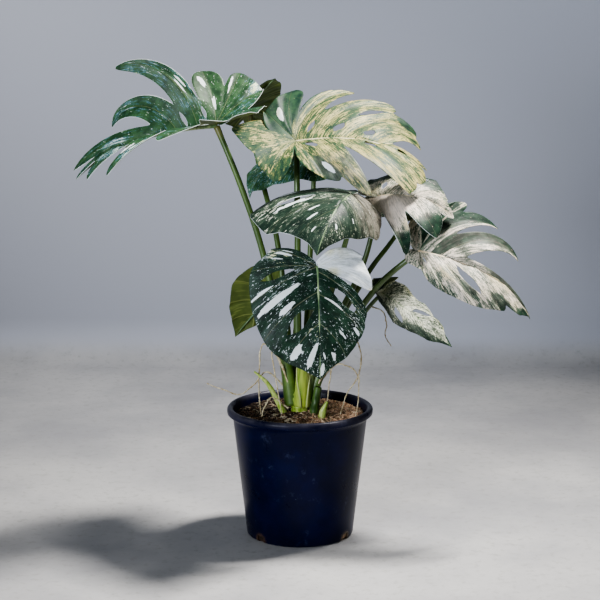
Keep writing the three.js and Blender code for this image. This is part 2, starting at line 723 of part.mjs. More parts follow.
// The pot: a tapered wall with a rolled lip, a floor, and drain notches where they meet
const { height, baseR, topR, rimR, wall, floor, bevel } = POT;
const lipFoot = height - POT.lip;
const innerTop = height - 14; // where the inside of the wall runs into the lip
function potBody() {
  let body = solidFrom(turnedBody([
    [0, 0], [baseR - 1.5 * bevel, 0], [baseR, bevel],
    [topR, lipFoot - 6.5], [topR + 3.5, lipFoot - 0.5],
    [rimR - 1, lipFoot], [rimR, lipFoot + 2.5], [rimR, height - 4], [rimR - 2.5, height - 0.8],
    [rimR - 6.5, height], [topR - 0.5, height - 3], [topR - wall, innerTop],
    [baseR - wall, floor], [0, floor],
  ]));
  for (const degrees of NOTCH.turns) {
    const notch = new THREE.BoxGeometry(NOTCH.depth, NOTCH.width, 2 * NOTCH.height);
    notch.translate(baseR, 0, 0);
    notch.rotateZ(rad(degrees));
    body = body.subtract(solidFrom(notch));
  }
  return body;
}
addPiece('pot', geometryFrom(potBody()), 'pot');

// The soil: a low mound that fills the pot to below its lip
const soilR = (z) => baseR - wall + ((topR - baseR) * (z - floor)) / (innerTop - floor) - GAP;
function soilBody(added = 0) {
  const bottom = floor + GAP;
  const edge = SOIL.top - 2;
  return solidFrom(turnedBody([
    [0, bottom], [soilR(bottom), bottom], [soilR(edge), edge + added],
    ...SOIL.surface.map(([r, z]) => [r, SOIL.top + z + added]),
  ]));
}

LEAVES.forEach((leaf) => addPiece(leaf.name, bladeSolid(leaf), leaf.look));

// The crown, the stalks and the thin pieces, each cut clear of the blades and of the bars before it
const bladeCutters = LEAVES.map((leaf) => solidFrom(bladeSolid(leaf, GAP)));
const barCutters = [];
function addBar(name, points, radii, options, look, cutters = []) {
  const body = solidFrom(barOf(points, radii, options));
  addPiece(name, geometryFrom(cutClear(body, [...barCutters, ...bladeCutters, ...cutters])), look);
  const cutter = solidFrom(barOf(points, radii, { ...options, added: GAP }));
  barCutters.push(cutter);
  return cutter;
}
const standing = [addBar('stem', STEM.points, STEM.radii, { sides: 14, steps: 7 }, 'stem')];
for (const [letter, { points, radii }] of Object.entries(STALKS)) {
  const leaf = LEAVES.find(({ name }) => name === `leaf_${letter}`);
  const { at, up } = midribOf(leaf)(0);
  const end = at.clone().addScaledVector(up, -STALK_TOP).toArray();
  addBar(`stalk_${letter}`, [...points, end], radii, { sides: 8, steps: 9 }, 'stalk');
}
const soilCutter = soilBody(GAP);
for (const [name, { points, radii }] of Object.entries(THIN)) {
  const [look] = name.split('_');
  if (look === 'root') addBar(name, points, radii, { sides: 5, steps: 12 }, look, [soilCutter]);
  else standing.push(addBar(name, points, radii, { sides: 8, steps: 7 }, look));
}

// A plain hole in the soil for the crown and for each piece that stands in it
addPiece('soil', geometryFrom(cutClear(soilBody(), standing)), 'soil');

export default group;
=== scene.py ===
"""The looks of a variegated monstera with split and windowed leaves in a round plastic nursery pot."""

import math

import bmesh
import bpy
import numpy as np
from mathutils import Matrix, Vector, noise


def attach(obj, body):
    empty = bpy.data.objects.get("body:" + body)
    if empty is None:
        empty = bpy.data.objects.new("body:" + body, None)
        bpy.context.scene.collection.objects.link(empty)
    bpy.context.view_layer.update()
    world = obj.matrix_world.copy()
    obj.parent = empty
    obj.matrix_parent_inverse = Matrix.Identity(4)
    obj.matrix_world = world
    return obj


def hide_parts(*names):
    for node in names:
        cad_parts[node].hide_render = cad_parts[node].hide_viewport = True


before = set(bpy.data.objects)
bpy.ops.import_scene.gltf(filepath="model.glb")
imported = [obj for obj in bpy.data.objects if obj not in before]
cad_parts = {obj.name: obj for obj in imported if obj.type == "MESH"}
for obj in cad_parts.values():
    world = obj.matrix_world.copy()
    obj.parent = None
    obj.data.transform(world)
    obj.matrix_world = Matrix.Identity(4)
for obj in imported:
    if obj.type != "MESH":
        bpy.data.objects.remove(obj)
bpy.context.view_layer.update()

MM = 0.001


def placed(name, data):
    """A new object in the scene."""
    made = bpy.data.objects.new(name, data)
    bpy.context.scene.collection.objects.link(made)
    return made


# The camera: its lens in millimetres, its place in metres and how far it looks down, in degrees
CAMERA = {"lens": 108.2, "sensor": 36, "place": (0, -3.0, 0.996), "down": 11.07}
camera_data = bpy.data.cameras.new("camera")
camera_data.lens = CAMERA["lens"]
camera_data.sensor_width = CAMERA["sensor"]
camera = placed("camera", camera_data)
camera.location = CAMERA["place"]
camera.rotation_euler = (math.radians(90 - CAMERA["down"]), 0, 0)
bpy.context.scene.camera = camera

# Dimensions, in millimetres
POT = {"height": 225, "base_r": 91.5, "top_r": 115, "rim_r": 125, "wall": 2.6, "floor": 3, "lip": 12.5}
NOTCH = {"turns": (-137, -33, 43, 147), "depth": 12, "width": 15, "height": 12}
SOIL = {
    "top": 212, "bottom": 3.35, "gap": 0.35, "edge": 110.9, "segments": 160, "rows": 56,
    "surface": ((0, 7), (40, 3), (70, -1), (98, 1), (111, -2)),
    "chips": 760, "chip_long": (1.8, 6.5), "chip_wide": (0.25, 0.7), "chip_high": (0.7, 2.0),
    "crumbs": 1500, "crumb": (0.6, 1.9), "spread": 109,
    "fibres": 260, "fibre_points": 7, "fibre_step": 2.6, "fibre_r": 0.32, "fibre_spread": 100,
}
BLADE = {"thickness": 0.75, "rows": 48, "strips": 8, "quilting": 0.11, "groove": 0.6}
LEVELS = 12
SHAPE = {
    "steps": 48, "curl_power": 1.3, "cut_power": 0.55, "tip_power": 2.5, "tip_round": 0.6, "drawn_in": 0.62,
}
MIDRIB = {"share": 0.985, "steps": 60, "sides": 10, "taper": 0.85, "behind": 1.5}
# The middle of a patch of colour has this many times its amount, which fades to none at its edge
PATCH_PEAK = 1.3
# A stalk ends this far below the start of its midrib, in a swollen joint that is a share of it long.
# Its sheath covers a share of its length and reaches round it by so many degrees each way.
JOINT = {"drop": 3.4, "swell": 0.22, "long": 0.045}
SHEATH = {"share": 0.34, "wrap": 158, "closing": 1.8, "sides": 22}

# Leaf forms, with one value per lobe from the base of a half leaf towards its tip
FORMS = {
    "cut": {
        "start": [0, 0, 0, 0.14, 0.34, 0.56], "angle": [160, 122, 90, 72, 60, 46],
        "turn": [-8, -22, -34, -38, -38, -30], "reach": [0.4, 0.54, 0.62, 0.6, 0.52, 0.4],
        "cut": [12, 8, 6, 4, 4, 6], "open": [0, 0.35, 0.45, 0.5, 0.55, 0.45], "windows": [[2, 2, 4, 0.35]],
        "tip_start": 0.8,
    },
    "heart": {
        "start": [0, 0, 0, 0.2, 0.48], "angle": [158, 120, 86, 66, 50], "turn": [-8, -20, -30, -32, -26],
        "reach": [0.42, 0.55, 0.6, 0.54, 0.42], "cut": [12, 12, 12, 12, 12], "open": [0, 0, 0, 0, 0],
        "windows": [], "tip_start": 0.8,
    },
}

# The leaves, as they are placed and bent in the frame, with what both halves or one half have of their own
LEAVES = {
    "a": {
        "form": "cut", "length": 262, "base": [-140, 20, 705], "heading": 188, "pitch": -4, "roll": -22,
        "bend": 46,
        "left": {
            "rise": [25, 32, 35, 26, 12, 8], "curl": [10, 0, -10, -34, -50, -40],
            "angle": [150, 125, 90, 66, 42, 30], "turn": [-8, -20, -34, -38, -24, -20],
            "reach": [0.4, 0.44, 0.42, 0.38, 0.5, 0.38],
        },
        "right": {
            "start": [0, 0, 0, 0.12, 0.26, 0.46], "angle": [150, 124, 92, 66, 60, 20],
            "turn": [-10, -10, -14, -56, -52, -14], "reach": [0.42, 0.46, 0.46, 0.74, 0.6, 0.57],
            "rise": [28, 30, 32, 64, 38, 2], "curl": [-30, -20, -20, -84, -104, -40],
            "cut": [12, 8, 4, 3, 2, 6], "open": [0, 0.3, 0.45, 0.25, 0.5, 0.45],
            "windows": [[2, 1, 3, 0.18], [3, 0, 2, 0.18]], "lean": [0, 0, 0, 75, 24, 0],
        },
    },
    "b": {
        "form": "cut", "length": 240, "base": [-6, 40, 675], "heading": -6, "pitch": 8, "roll": 26,
        "bend": 58,
        "left": {
            "angle": [136, 108, 80, 66, 56, 56], "turn": [-10, -30, -50, -50, -46, -46],
            "reach": [0.35, 0.52, 0.75, 0.77, 0.68, 0.5], "rise": [26, 27, 17, 13, 8, 8],
            "curl": [-10, -30, -42, -45, -50, -56], "cut": [12, 5, 5, 10, 11, 2],
            "open": [0, 0.2, 0.6, 0.4, 0.3, 0.75],
            "windows": [[2, 1, 3, 0.22], [3, 1, 3, 0.3], [3, 5, 9, 0.22], [4, 1, 3, 0.35]],
            "tip_start": 0.7,
        },
        "right": {
            "angle": [184, 122, 64, 56, 46, 34], "turn": [-6, -16, -6, -4, -10, -14],
            "reach": [0.46, 0.42, 0.44, 0.67, 0.66, 0.46], "rise": [24, 8, 5, 5, 5, 5],
            "curl": [-12, -46, -50, -50, -50, -40], "cut": [11, 3, 10, 3, 11, 8],
            "open": [0.2, 0.14, 0.2, 0.6, 0.2, 0.4],
            "windows": [[2, 1, 3, 0.5], [4, 1, 3, 0.35], [5, 2, 5, 0.4]], "lap": 0.16,
        },
    },
    "c": {
        "form": "heart", "length": 180, "base": [85, -50, 597], "heading": 251, "pitch": -3, "roll": -8,
        "bend": 62,
        "left": {
            "angle": [140, 110, 90, 66, 50], "rise": [-10, -20, -30, -25, -20],
            "curl": [-40, -60, -50, -50, -40], "reach": [0.28, 0.44, 0.5, 0.42, 0.28],
        },
        "right": {
            "start": [0, 0, 0, 0.16, 0.44], "angle": [150, 112, 90, 70, 54],
            "turn": [-8, -20, -24, -24, -20], "rise": [0, 0, -2, -10, -14],
            "curl": [-30, -40, -40, -40, -30], "reach": [0.4, 0.74, 0.98, 0.82, 0.44],
            "windows": [[2, 4, 9, 0.2]],
        },
    },
    "d": {
        "form": "cut", "length": 140, "base": [133, 30, 583], "heading": -20, "pitch": 8, "roll": 20,
        "bend": 60,
        "both": {"tip_start": 0.72},
        "left": {
            "start": [0, 0, 0.1, 0.4], "angle": [150, 108, 78, 56], "turn": [-8, -22, -36, -34],
            "reach": [0.4, 0.58, 0.66, 0.5], "rise": [10, 16, 14, 8], "curl": [-30, -40, -44, -40],
            "cut": [12, 12, 12, 10], "open": [0, 0, 0, 0.25],
            "windows": [[1, 2, 5, 0.35], [2, 4, 10, 0.22]],
        },
        "right": {
            "start": [0, 0, 0.1, 0.38], "angle": [146, 104, 76, 54], "turn": [-8, -20, -30, -30],
            "reach": [0.24, 0.36, 0.94, 0.7], "rise": [0, 0, 0, 0], "curl": [-20, -40, -88, -66],
            "cut": [12, 7, 5, 8], "open": [0, 0.25, 0.36, 0.2], "windows": [],
        },
    },
    "e": {
        "form": "heart", "length": 183, "base": [28, -120, 487], "heading": -82, "pitch": -72, "roll": -2,
        "bend": 14,
        "both": {"rise": [0] * 5, "curl": [-20] * 5},
        "left": {
            "start": [0, 0, 0.04, 0.24, 0.5], "angle": [116, 86, 62, 62, 52],
            "turn": [-30, -36, -26, -30, -28], "reach": [0.44, 0.56, 0.6, 0.55, 0.4], "lap": 0.1,
            "cut": [12, 4, 12, 12, 12], "open": [0, 0.4, 0, 0, 0], "windows": [[2, 2, 10, 0.55]],
        },
        "right": {
            "start": [0, 0, 0, 0.22, 0.5], "angle": [125, 98, 74, 64, 54],
            "turn": [-24, -20, -24, -30, -30], "reach": [0.44, 0.59, 0.68, 0.66, 0.46], "lap": 0.05,
            "windows": [[1, 3, 10, 0.46], [3, 1, 8, 0.5]],
        },
    },
    "f": {
        "form": "cut", "length": 232, "base": [200, -20, 497], "heading": -14, "pitch": -10, "roll": 26,
        "bend": 60,
        "left": {
            "start": [0, 0, 0, 0.16], "angle": [106, 80, 56, 46], "turn": [-10, -20, -26, -30],
            "reach": [0.3, 0.5, 0.72, 0.72], "rise": [45, 30, 33, 28], "curl": [0, -20, -76, -90],
            "cut": [10, 9, 4, 2], "open": [0.2, 0.2, 0.6, 0.7], "windows": [], "tip_start": 0.34,
        },
        "right": {
            "start": [0, 0, 0.02, 0.14, 0.32, 0.54], "angle": [120, 66, 52, 46, 38, 30],
            "turn": [-10, -20, -20, -26, -26, -20], "reach": [0.14, 0.28, 0.4, 0.5, 0.46, 0.36],
            "rise": [0, -4, -4, -2, 0, 2], "curl": [-30, -40, -40, -40, -40, -30],
            "cut": [12, 12, 12, 12, 10, 12], "open": [0, 0, 0, 0, 0.3, 0],
            "windows": [[1, 2, 5, 0.4], [3, 2, 9, 0.5]], "lap": 0.06,
        },
    },
    "g": {
        "form": "heart", "length": 152, "base": [141, 40, 414], "heading": -14, "pitch": -32, "roll": 24,
        "bend": 12,
        "both": {"start": [0, 0, 0.08, 0.26, 0.5]},
        "left": {
            "angle": [150, 100, 66, 52, 40], "rise": [8, 8, 5, 5, 5], "curl": [0, 0, -20, -20, -20],
            "reach": [0.2, 0.26, 0.38, 0.4, 0.33], "windows": [[3, 1, 9, 0.45]],
        },
        "right": {
            "angle": [150, 110, 70, 52, 40], "rise": [96, 30, 5, 5, 5], "curl": [24, 0, -20, -20, -20],
            "reach": [0.28, 0.32, 0.38, 0.4, 0.33], "windows": [[2, 3, 10, 0.4]],
        },
    },
    "h": {
        "form": "heart", "length": 98, "base": [-48, 70, 405], "heading": 178, "pitch": -46, "roll": 72,
        "bend": 20,
        "both": {"rise": [5] * 5, "curl": [-20] * 5},
        "left": {"reach": [0.48, 0.66, 0.76, 0.64, 0.42]},
        "right": {"reach": [0.36, 0.46, 0.46, 0.36, 0.24]},
    },
    "i": {
        "form": "heart", "length": 148, "base": [24, 120, 640], "heading": 204, "pitch": 2, "roll": -14,
        "bend": 84,
        "both": {"rise": [0] * 5, "curl": [-40, -40, -40, -40, -30]},
        "left": {"reach": [0.4, 0.48, 0.5, 0.48, 0.4]},
    },
    "j": {
        "form": "heart", "length": 95, "base": [-89, 150, 716], "heading": -50, "pitch": 48, "roll": 0,
        "bend": 20,
        "both": {"rise": [5] * 5, "curl": [-30] * 5},
    },
    "k": {
        "form": "cut", "length": 105, "base": [193, 90, 548], "heading": 60, "pitch": 10, "roll": 0,
        "bend": 60,
        "both": {"rise": [10] * 6, "curl": [-40, -40, -40, -40, -40, -30]},
    },
}

# Variegation. cream is how much of a blade is cream, flecks how thickly it is flecked. patches are
# [hand (1 left, -1 right, 0 both), lobe, half width in lobes, from, to along the lobe, cream added there].
# blush is the same for a mauve tint, and marks for pale streaks with a clear edge.
LOOKS = {
    "a": {
        "tone": "deep", "rim": 0.8, "cream": 0.06, "flecks": 0.8, "slot": "green_blade",
        "patches": [
            # In leaf a's patches, the one on lobe 3 of the right half lightens the big lobe as a painted
            # sheen, and the one on lobe 1.6 darkens the upright lobe as painted shade.
            [-1, 0.9, 0.1, 0.3, 1.1, 0.2], [-1, 0.1, 0.3, 0.7, 1.2, 0.3], [-1, 3.0, 0.8, 0.1, 1.0, 0.06],
            [-1, 1.6, 1.0, -0.2, 1.3, -0.4], [1, 5.2, 0.3, 0, 0.6, 0.3], [1, 4.1, 0.12, 0.2, 0.8, 0.3],
            [1, 3.0, 0.2, 0, 0.4, 0.3], [-1, 5.0, 0.2, 0.1, 0.6, 0.3],
        ],
        "marks": [
            [-1, 1.95, 0.07, 0.22, 0.5, 1], [-1, 2.12, 0.06, 0.6, 0.86, 1], [-1, 2.75, 0.045, 0.4, 0.56, 1],
            [-1, 2.88, 0.04, 0.32, 0.5, 1], [-1, 1.2, 0.06, 0.5, 0.9, 1], [1, 4.3, 0.05, 0.3, 0.6, 1],
        ],
    },
    "b": {
        "tone": "pale", "cream": 0.46, "flecks": 0.1, "slot": "cream_blade",
        "patches": [
            [1, 0.5, 1.15, 0.14, 1.3, -1.1], [1, 1.5, 0.2, 0.2, 1.0, -0.4], [1, 2.5, 0.1, 0.3, 1.0, -0.4],
            [1, 3.9, 0.3, 0.78, 1.1, -0.9], [-1, 2.2, 0.3, 0.5, 1.1, -0.9], [1, 3.5, 0.08, 0.2, 0.8, -0.4],
            [-1, 3.35, 0.16, 0.4, 1.2, -0.8], [-1, 1.3, 0.7, 0.5, 1.1, -0.12],
            [-1, 0.5, 0.5, 0.5, 1.1, -0.12], [-1, 4.5, 0.1, 0.1, 0.7, -0.3], [-1, 1.5, 0.1, 0.1, 0.6, -0.4],
            [1, 5.6, 0.6, 0.2, 1.1, 0.2],
        ],
        "blush": [[-1, 3.0, 1.2, 0.3, 1.2, 0.4]],
        "marks": [[1, 0.4, 0.2, 0.46, 0.8, 1], [-1, 2.3, 0.15, 0.62, 0.84, 1]],
    },
    "c": {
        "tone": "mid", "rim": 0.8, "cream": 0.16, "flecks": 1.5, "slot": "green_blade",
        "patches": [[1, 1.2, 1.6, 0.3, 1.3, 0.06], [0, 5, 0.4, 0.7, 1.2, -0.3]],
        "blush": [[1, 0.6, 2.6, -0.4, 1.5, 0.7]],
        "marks": [
            [-1, 2.66, 0.045, 0.25, 0.95, 0.9], [-1, 2.4, 0.03, 0.4, 0.8, 0.8],
            [-1, 3.5, 0.045, 0.3, 0.5, 0.9], [1, 4.2, 0.05, 0.35, 0.62, 0.9],
            [-1, 3.1, 0.03, 0.4, 0.7, 0.8], [-1, 4.3, 0.04, 0.5, 0.75, 0.8], [1, 3.3, 0.03, 0.5, 0.7, 0.7],
            [-1, 1.7, 0.03, 0.5, 0.8, 0.7], [-1, 3.8, 0.02, 0.3, 0.7, 0.8], [-1, 4.6, 0.02, 0.2, 0.7, 0.8],
            [1, 4.6, 0.02, 0.2, 0.6, 0.8],
        ],
    },
    "d": {
        "tone": "pink", "rim": 0.8, "cream": 0.5, "flecks": 0.3, "slot": "cream_blade",
        "patches": [
            [-1, 1.8, 1.3, 0.66, 1.4, -0.9], [-1, 1.4, 1.8, -0.3, 0.6, 0.5], [-1, 3.0, 0.5, 0.5, 1.3, -0.7],
            [1, 1.4, 1.4, 0.5, 1.3, -0.4], [1, 2.6, 0.5, 0.5, 1.1, -0.3],
        ],
        "blush": [[-1, 1.2, 1.6, -0.4, 0.86, 0.4], [0, 3.2, 1.4, -0.3, 0.7, 0.2]],
    },
    "e": {
        "tone": "dark", "cream": 0.11, "flecks": 1.0, "slot": "green_blade",
        "patches": [
            [1, 0.3, 1.35, -0.3, 1.5, 1.4], [-1, 0.2, 0.5, 0.5, 1.1, 0.16], [-1, 4.7, 0.5, 0.4, 1.1, 0.1],
        ],
        "marks": [
            [-1, 1.92, 0.055, 0.6, 1.04, 1], [-1, 2.42, 0.12, 0.2, 1.0, 1], [-1, 2.86, 0.1, 0.34, 0.66, 1],
            [-1, 4.05, 0.1, 0.5, 0.95, 1], [-1, 4.5, 0.11, 0.02, 0.97, 1], [1, 4.86, 0.16, 0.5, 0.96, 1],
            [-1, 0.1, 0.07, 0.5, 0.9, 1], [-1, 0.45, 0.05, 0.6, 0.85, 1], [-1, -0.2, 0.05, 0.55, 0.8, 1],
            [1, 3.0, 0.06, 0.08, 0.5, 1], [1, 3.16, 0.05, 0.74, 1.0, 1], [1, 4.3, 0.06, 0.6, 0.92, 1],
            [1, 4.62, 0.05, 0.3, 0.6, 1], [1, 3.7, 0.04, 0.5, 0.75, 1], [-1, 3.5, 0.05, 0.15, 0.4, 1],
        ],
    },
    "f": {
        "tone": "pink", "cream": 0.5, "flecks": 0.3, "slot": "cream_blade",
        "patches": [
            [1, 1.72, 0.4, -0.2, 1.3, -1.2], [1, 2.72, 0.36, -0.1, 1.3, -1.2],
            [1, 0.6, 0.65, 0.1, 1.3, -0.8], [-1, 3.1, 0.3, 0.4, 0.9, -0.3], [-1, 4.4, 0.5, 0.55, 1.2, -0.5],
            [-1, 1.5, 1.0, 0.7, 1.2, -0.15], [0, 5.6, 0.8, 0.75, 1.3, -0.6], [1, 3.7, 0.3, 0.3, 1.2, -0.5],
        ],
        "blush": [[0, 4.0, 2.5, -0.3, 1, 0.12]],
    },
    "g": {
        "tone": "mid", "cream": 0.5, "flecks": 0.15, "slot": "cream_blade",
        "patches": [
            [1, 0.3, 0.7, -0.3, 1.4, -0.5], [-1, 1.0, 0.8, -0.3, 0.7, 0.2], [0, 5, 0.7, 0.75, 1.3, -0.6],
            [-1, 2.0, 1.4, 0.5, 1.2, -0.2], [-1, 3.6, 0.9, 0.5, 1.2, -0.3],
        ],
    },
    "h": {"tone": "mid", "cream": 0.12, "flecks": 0.3, "slot": "green_blade"},
    "i": {
        "tone": "deep", "cream": 0.16, "flecks": 0.6, "slot": "green_blade",
        "patches": [[1, 1.0, 0.2, 0.4, 1, 0.35]],
    },
    "j": {"tone": "mid", "cream": 0.14, "flecks": 0.2, "slot": "green_blade"},
    "k": {"tone": "mid", "cream": 0.3, "flecks": 0.3, "slot": "green_blade"},
}

# The crown, the stalks and the thin pieces: points, and the radius at each
STEM = ([[0, 0, 185], [0, -2, 222], [-1, -3, 240], [0, 0, 262]], [11, 15, 17, 11])
STEM_RINGS = (213, 228, 243)
BUD = {"count": 16, "reach": 14.5, "heights": (206, 232), "long": (1.2, 3.2), "r": 1.4}
ROOTLET = {"count": 6, "long": (3, 9), "radii": (0.42, 0.16)}
STALKS = {
    "a": ([[-13, -3, 228], [-26, 0, 315], [-64, 10, 493], [-100, 14, 603]], [12, 9, 5.2, 5, 4.6]),
    "e": ([[4, -15, 230], [6, -26, 300], [19, -66, 390], [25, -98, 455]], [13, 10, 4.8, 4, 3.6]),
    "b": ([[-1, 13, 236], [-4, 22, 311], [-4, 20, 500], [-5, 20, 600]], [9, 7.5, 5.2, 5, 4.4]),
    "c": ([[12, -10, 240], [20, -13, 300], [66, 0, 470], [83, -22, 541]], [9, 6.5, 4.6, 4.2, 4]),
    "f": ([[17, -6, 236], [40, -6, 292], [129, 0, 430], [172, -12, 473]], [8.5, 6.5, 5, 4.8, 4.4]),
    "d": ([[15, 2, 246], [34, 8, 310], [108, 25, 468], [125, 30, 533]], [7.5, 6, 4.6, 4.2, 4]),
    "j": ([[-9, 12, 240], [-17, 30, 300], [-39, 80, 495], [-70, 146, 610]], [8, 6.5, 4.8, 4.4, 4]),
    "i": ([[7, 14, 240], [10, 38, 310], [18, 80, 487], [23, 108, 572]], [7.5, 6, 4.6, 4.2, 4]),
    "g": ([[17, 6, 236], [46, 24, 290], [87, 40, 345], [122, 44, 392]], [7, 5.5, 4, 3.6, 3.4]),
    "k": ([[13, 10, 244], [34, 28, 305], [123, 46, 457], [152, 62, 492]], [6.5, 5.5, 4.4, 4, 3.6]),
    "h": ([[-14, 6, 244], [-28, 22, 300], [-36, 50, 360], [-43, 64, 388]], [6, 5, 3.8, 3.4, 3.2]),
}
THIN = {
    "shoot_left": ([[-24, -12, 208], [-40, -14, 240], [-56, -14, 268], [-78, -14, 288]], [6, 5, 3.5, 1.5]),
    "shoot_right": ([[36, -34, 200], [39, -37, 224], [46, -40, 242]], [7, 6.2, 2]),
    "stub": ([[22, -16, 205], [27, -19, 240], [31, -20, 262]], [8, 7, 6]),
    "root_1": (
        [[-20, 2, 256], [-44, -6, 322], [-62, -8, 336], [-70, -8, 284], [-66, -8, 200]],
        [1.6, 1.4, 1.3, 1.1, 1],
    ),
    "root_2": (
        [[-18, -10, 262], [-40, -20, 318], [-50, -20, 330], [-44, -22, 290], [-28, -26, 200]],
        [1.6, 1.4, 1.3, 1.1, 1],
    ),
    "root_3": (
        [[-20, 4, 250], [-58, 2, 284], [-78, 2, 262], [-104, 4, 244], [-136, 6, 252], [-160, 8, 262]],
        [1.6, 1.3, 1.2, 1, 1, 0.8],
    ),
    "root_4": ([[-20, -14, 224], [-50, -20, 243], [-60, -24, 230], [-68, -28, 200]], [1.6, 1.4, 1.3, 1.1]),
    "root_5": (
        [[30, -4, 262], [70, -6, 326], [94, -8, 338], [101, -8, 280], [80, -8, 246], [66, -8, 200]],
        [1.6, 1.4, 1.3, 1.3, 1.1, 1],
    ),
    "root_6": (
        [[26, -10, 256], [46, -20, 290], [56, -22, 298], [50, -22, 262], [42, -22, 200]],
        [1.6, 1.4, 1.3, 1.1, 1],
    ),
    "root_7": (
        [[22, 2, 246], [64, -14, 300], [98, -20, 286], [100, -22, 246], [92, -24, 200]],
        [1.6, 1.4, 1.2, 1, 1],
    ),
    "root_8": (
        [[120, 44, 390], [143, 20, 384], [150, 16, 366], [146, 14, 346], [156, 12, 326]],
        [1.3, 1.1, 1, 0.9, 0.8],
    ),
}


def linear(colour):
    """A colour written as six hex digits, as the linear red, green and blue that Blender takes."""
    parts = [int(colour[n:n + 2], 16) / 255 for n in (0, 2, 4)]
    return tuple(p / 12.92 if p <= 0.04045 else ((p + 0.055) / 1.055) ** 2.4 for p in parts) + (1,)


class Paint:
    """A material with short calls for its nodes. A value is a number, six hex digits or a node's output."""

    def __init__(self, name, roughness=0.5, **sockets):
        self.material = bpy.data.materials.new(name)
        self.material.use_nodes = True
        self.tree = self.material.node_tree
        self.shader = self.tree.nodes["Principled BSDF"]
        self.shader.inputs["Roughness"].default_value = roughness
        for socket, value in sockets.items():
            self.put(self.shader.inputs[socket.replace("_", " ")], value)

    def put(self, socket, value):
        if isinstance(value, bpy.types.NodeSocket):
            self.tree.links.new(value, socket)
        elif value is not None:
            socket.default_value = linear(value) if isinstance(value, str) else value

    def node(self, kind, settings=None, **values):
        made = self.tree.nodes.new("ShaderNode" + kind)
        for name, value in (settings or {}).items():
            setattr(made, name, value)
        for name, value in values.items():
            self.put(made.inputs[name.replace("_", " ")], value)
        return made

    def made_of(self, kind, settings, *values):
        """The output of a node whose inputs are given in order."""
        made = self.node(kind, settings)
        for socket, value in zip(made.inputs, values):
            self.put(socket, value)
        return made.outputs[0]

    def math(self, operation, *values):
        return self.made_of("Math", {"operation": operation}, *values)

    def times(self, a, b):
        return self.math("MULTIPLY", a, b)

    def sway(self, value, amount, around):
        """A value that moves another up and down as it goes from 0 to 1."""
        return self.math("MULTIPLY_ADD", self.math("SUBTRACT", value, 0.5), amount, around)

    def mix(self, share, a, b):
        made = self.tree.nodes.new("ShaderNodeMix")
        made.data_type = "RGBA"
        self.put(made.inputs[0], share)
        self.put(made.inputs[6], a)
        self.put(made.inputs[7], b)
        return made.outputs[2]

    def step(self, value, low, high):
        """From 0 at low to 1 at high, smoothly."""
        made = self.node("MapRange", {"interpolation_type": "SMOOTHSTEP"}, Value=value)
        made.inputs["From Min"].default_value = low
        made.inputs["From Max"].default_value = high
        return made.outputs[0]

    def blend(self, value, low, high, first, second, share=None):
        """From one colour to another, or a share of the way to it, as a value goes from low to high."""
        step = self.step(value, low, high)
        return self.mix(step if share is None else self.times(step, share), first, second)

    def values(self, name):
        """The three numbers of a mesh attribute."""
        attribute = self.node("Attribute", {"attribute_name": name})
        split = self.node("SeparateXYZ", Vector=attribute.outputs["Vector"])
        return split.outputs[0], split.outputs[1], split.outputs[2]

    def vector(self, *values):
        return self.made_of("CombineXYZ", None, *values)

    def place(self):
        return self.node("TexCoord").outputs["Object"]

    def noise(self, vector, scale, detail=3, roughness=0.5, distortion=0.0):
        sockets = {"Scale": scale, "Detail": detail, "Roughness": roughness, "Distortion": distortion}
        return self.node("TexNoise", Vector=vector, **sockets).outputs["Fac"]

    def spots(self, place, scale, share, size):
        """Round spots in a share of the cells of a grid, so many to the metre, each of its own size."""
        grid = self.node("VectorMath", {"operation": "SCALE"}, Vector=place, Scale=scale).outputs[0]
        cell = self.node("TexVoronoi", {"feature": "F1"}, Vector=grid, Scale=1.0)
        draw = self.node("SeparateColor", Color=cell.outputs["Color"])
        shown = self.math("LESS_THAN", draw.outputs[0], share)
        radius = self.times(self.math("ADD", draw.outputs[1], 0.25), size)
        inside = self.step(self.math("DIVIDE", cell.outputs["Distance"], radius), 1.0, 0.7)
        return self.times(shown, inside)

    def finish(self, colour=None, roughness=None, height=None, depth=0.0005, strength=1.0):
        self.put(self.shader.inputs["Base Color"], colour)
        self.put(self.shader.inputs["Roughness"], roughness)
        if height is not None:
            bump = self.node("Bump", Height=height, Strength=strength, Distance=depth)
            self.put(self.shader.inputs["Normal"], bump.outputs[0])
        return self.material


# Colours of a blade: two of the green ground, the grey-green of the marbling and how strong it is,
# and two of the cream
TONES = {
    "dark": ("0c2118", "1b3827", "3f5a50", 0.5, "f0f6fa", "ece8b8"),
    # deep's blue-grey marbling colour is partly marbling and partly a painted sheen of the sky on the
    # lobes.
    "deep": ("1c3b22", "3a5c38", "5a8494", 0.7, "e4ece4", "ccd28c"),
    "mid": ("14271e", "283d30", "566252", 0.9, "d0d2c2", "c6c494"),
    "pale": ("17352a", "35553a", "4c603c", 1.0, "beb27a", "ab9c52"),
    "pink": ("12291f", "2e4a38", "727c6c", 0.9, "dccfc0", "d3c49c"),
}


def marbling(paint):
    """How pale a blade is at each place, before it is cut into bands of colour."""
    lobe, level, seed = paint.values("fan")
    x, y, gap = paint.values("flat")
    pale, mark, blush = paint.values("mask")
    flat = paint.vector(x, y, seed)
    streaks = paint.noise(paint.vector(paint.times(lobe, 3.4), level, seed), 1.9, 5, 0.65, 0.8)
    blotches = paint.noise(flat, 30.0, 5, 0.62, 0.4)
    drift = paint.sway(blotches, 0.8, paint.sway(streaks, 1.0, pale))
    return drift, flat, lobe, level, seed, gap, mark, blush


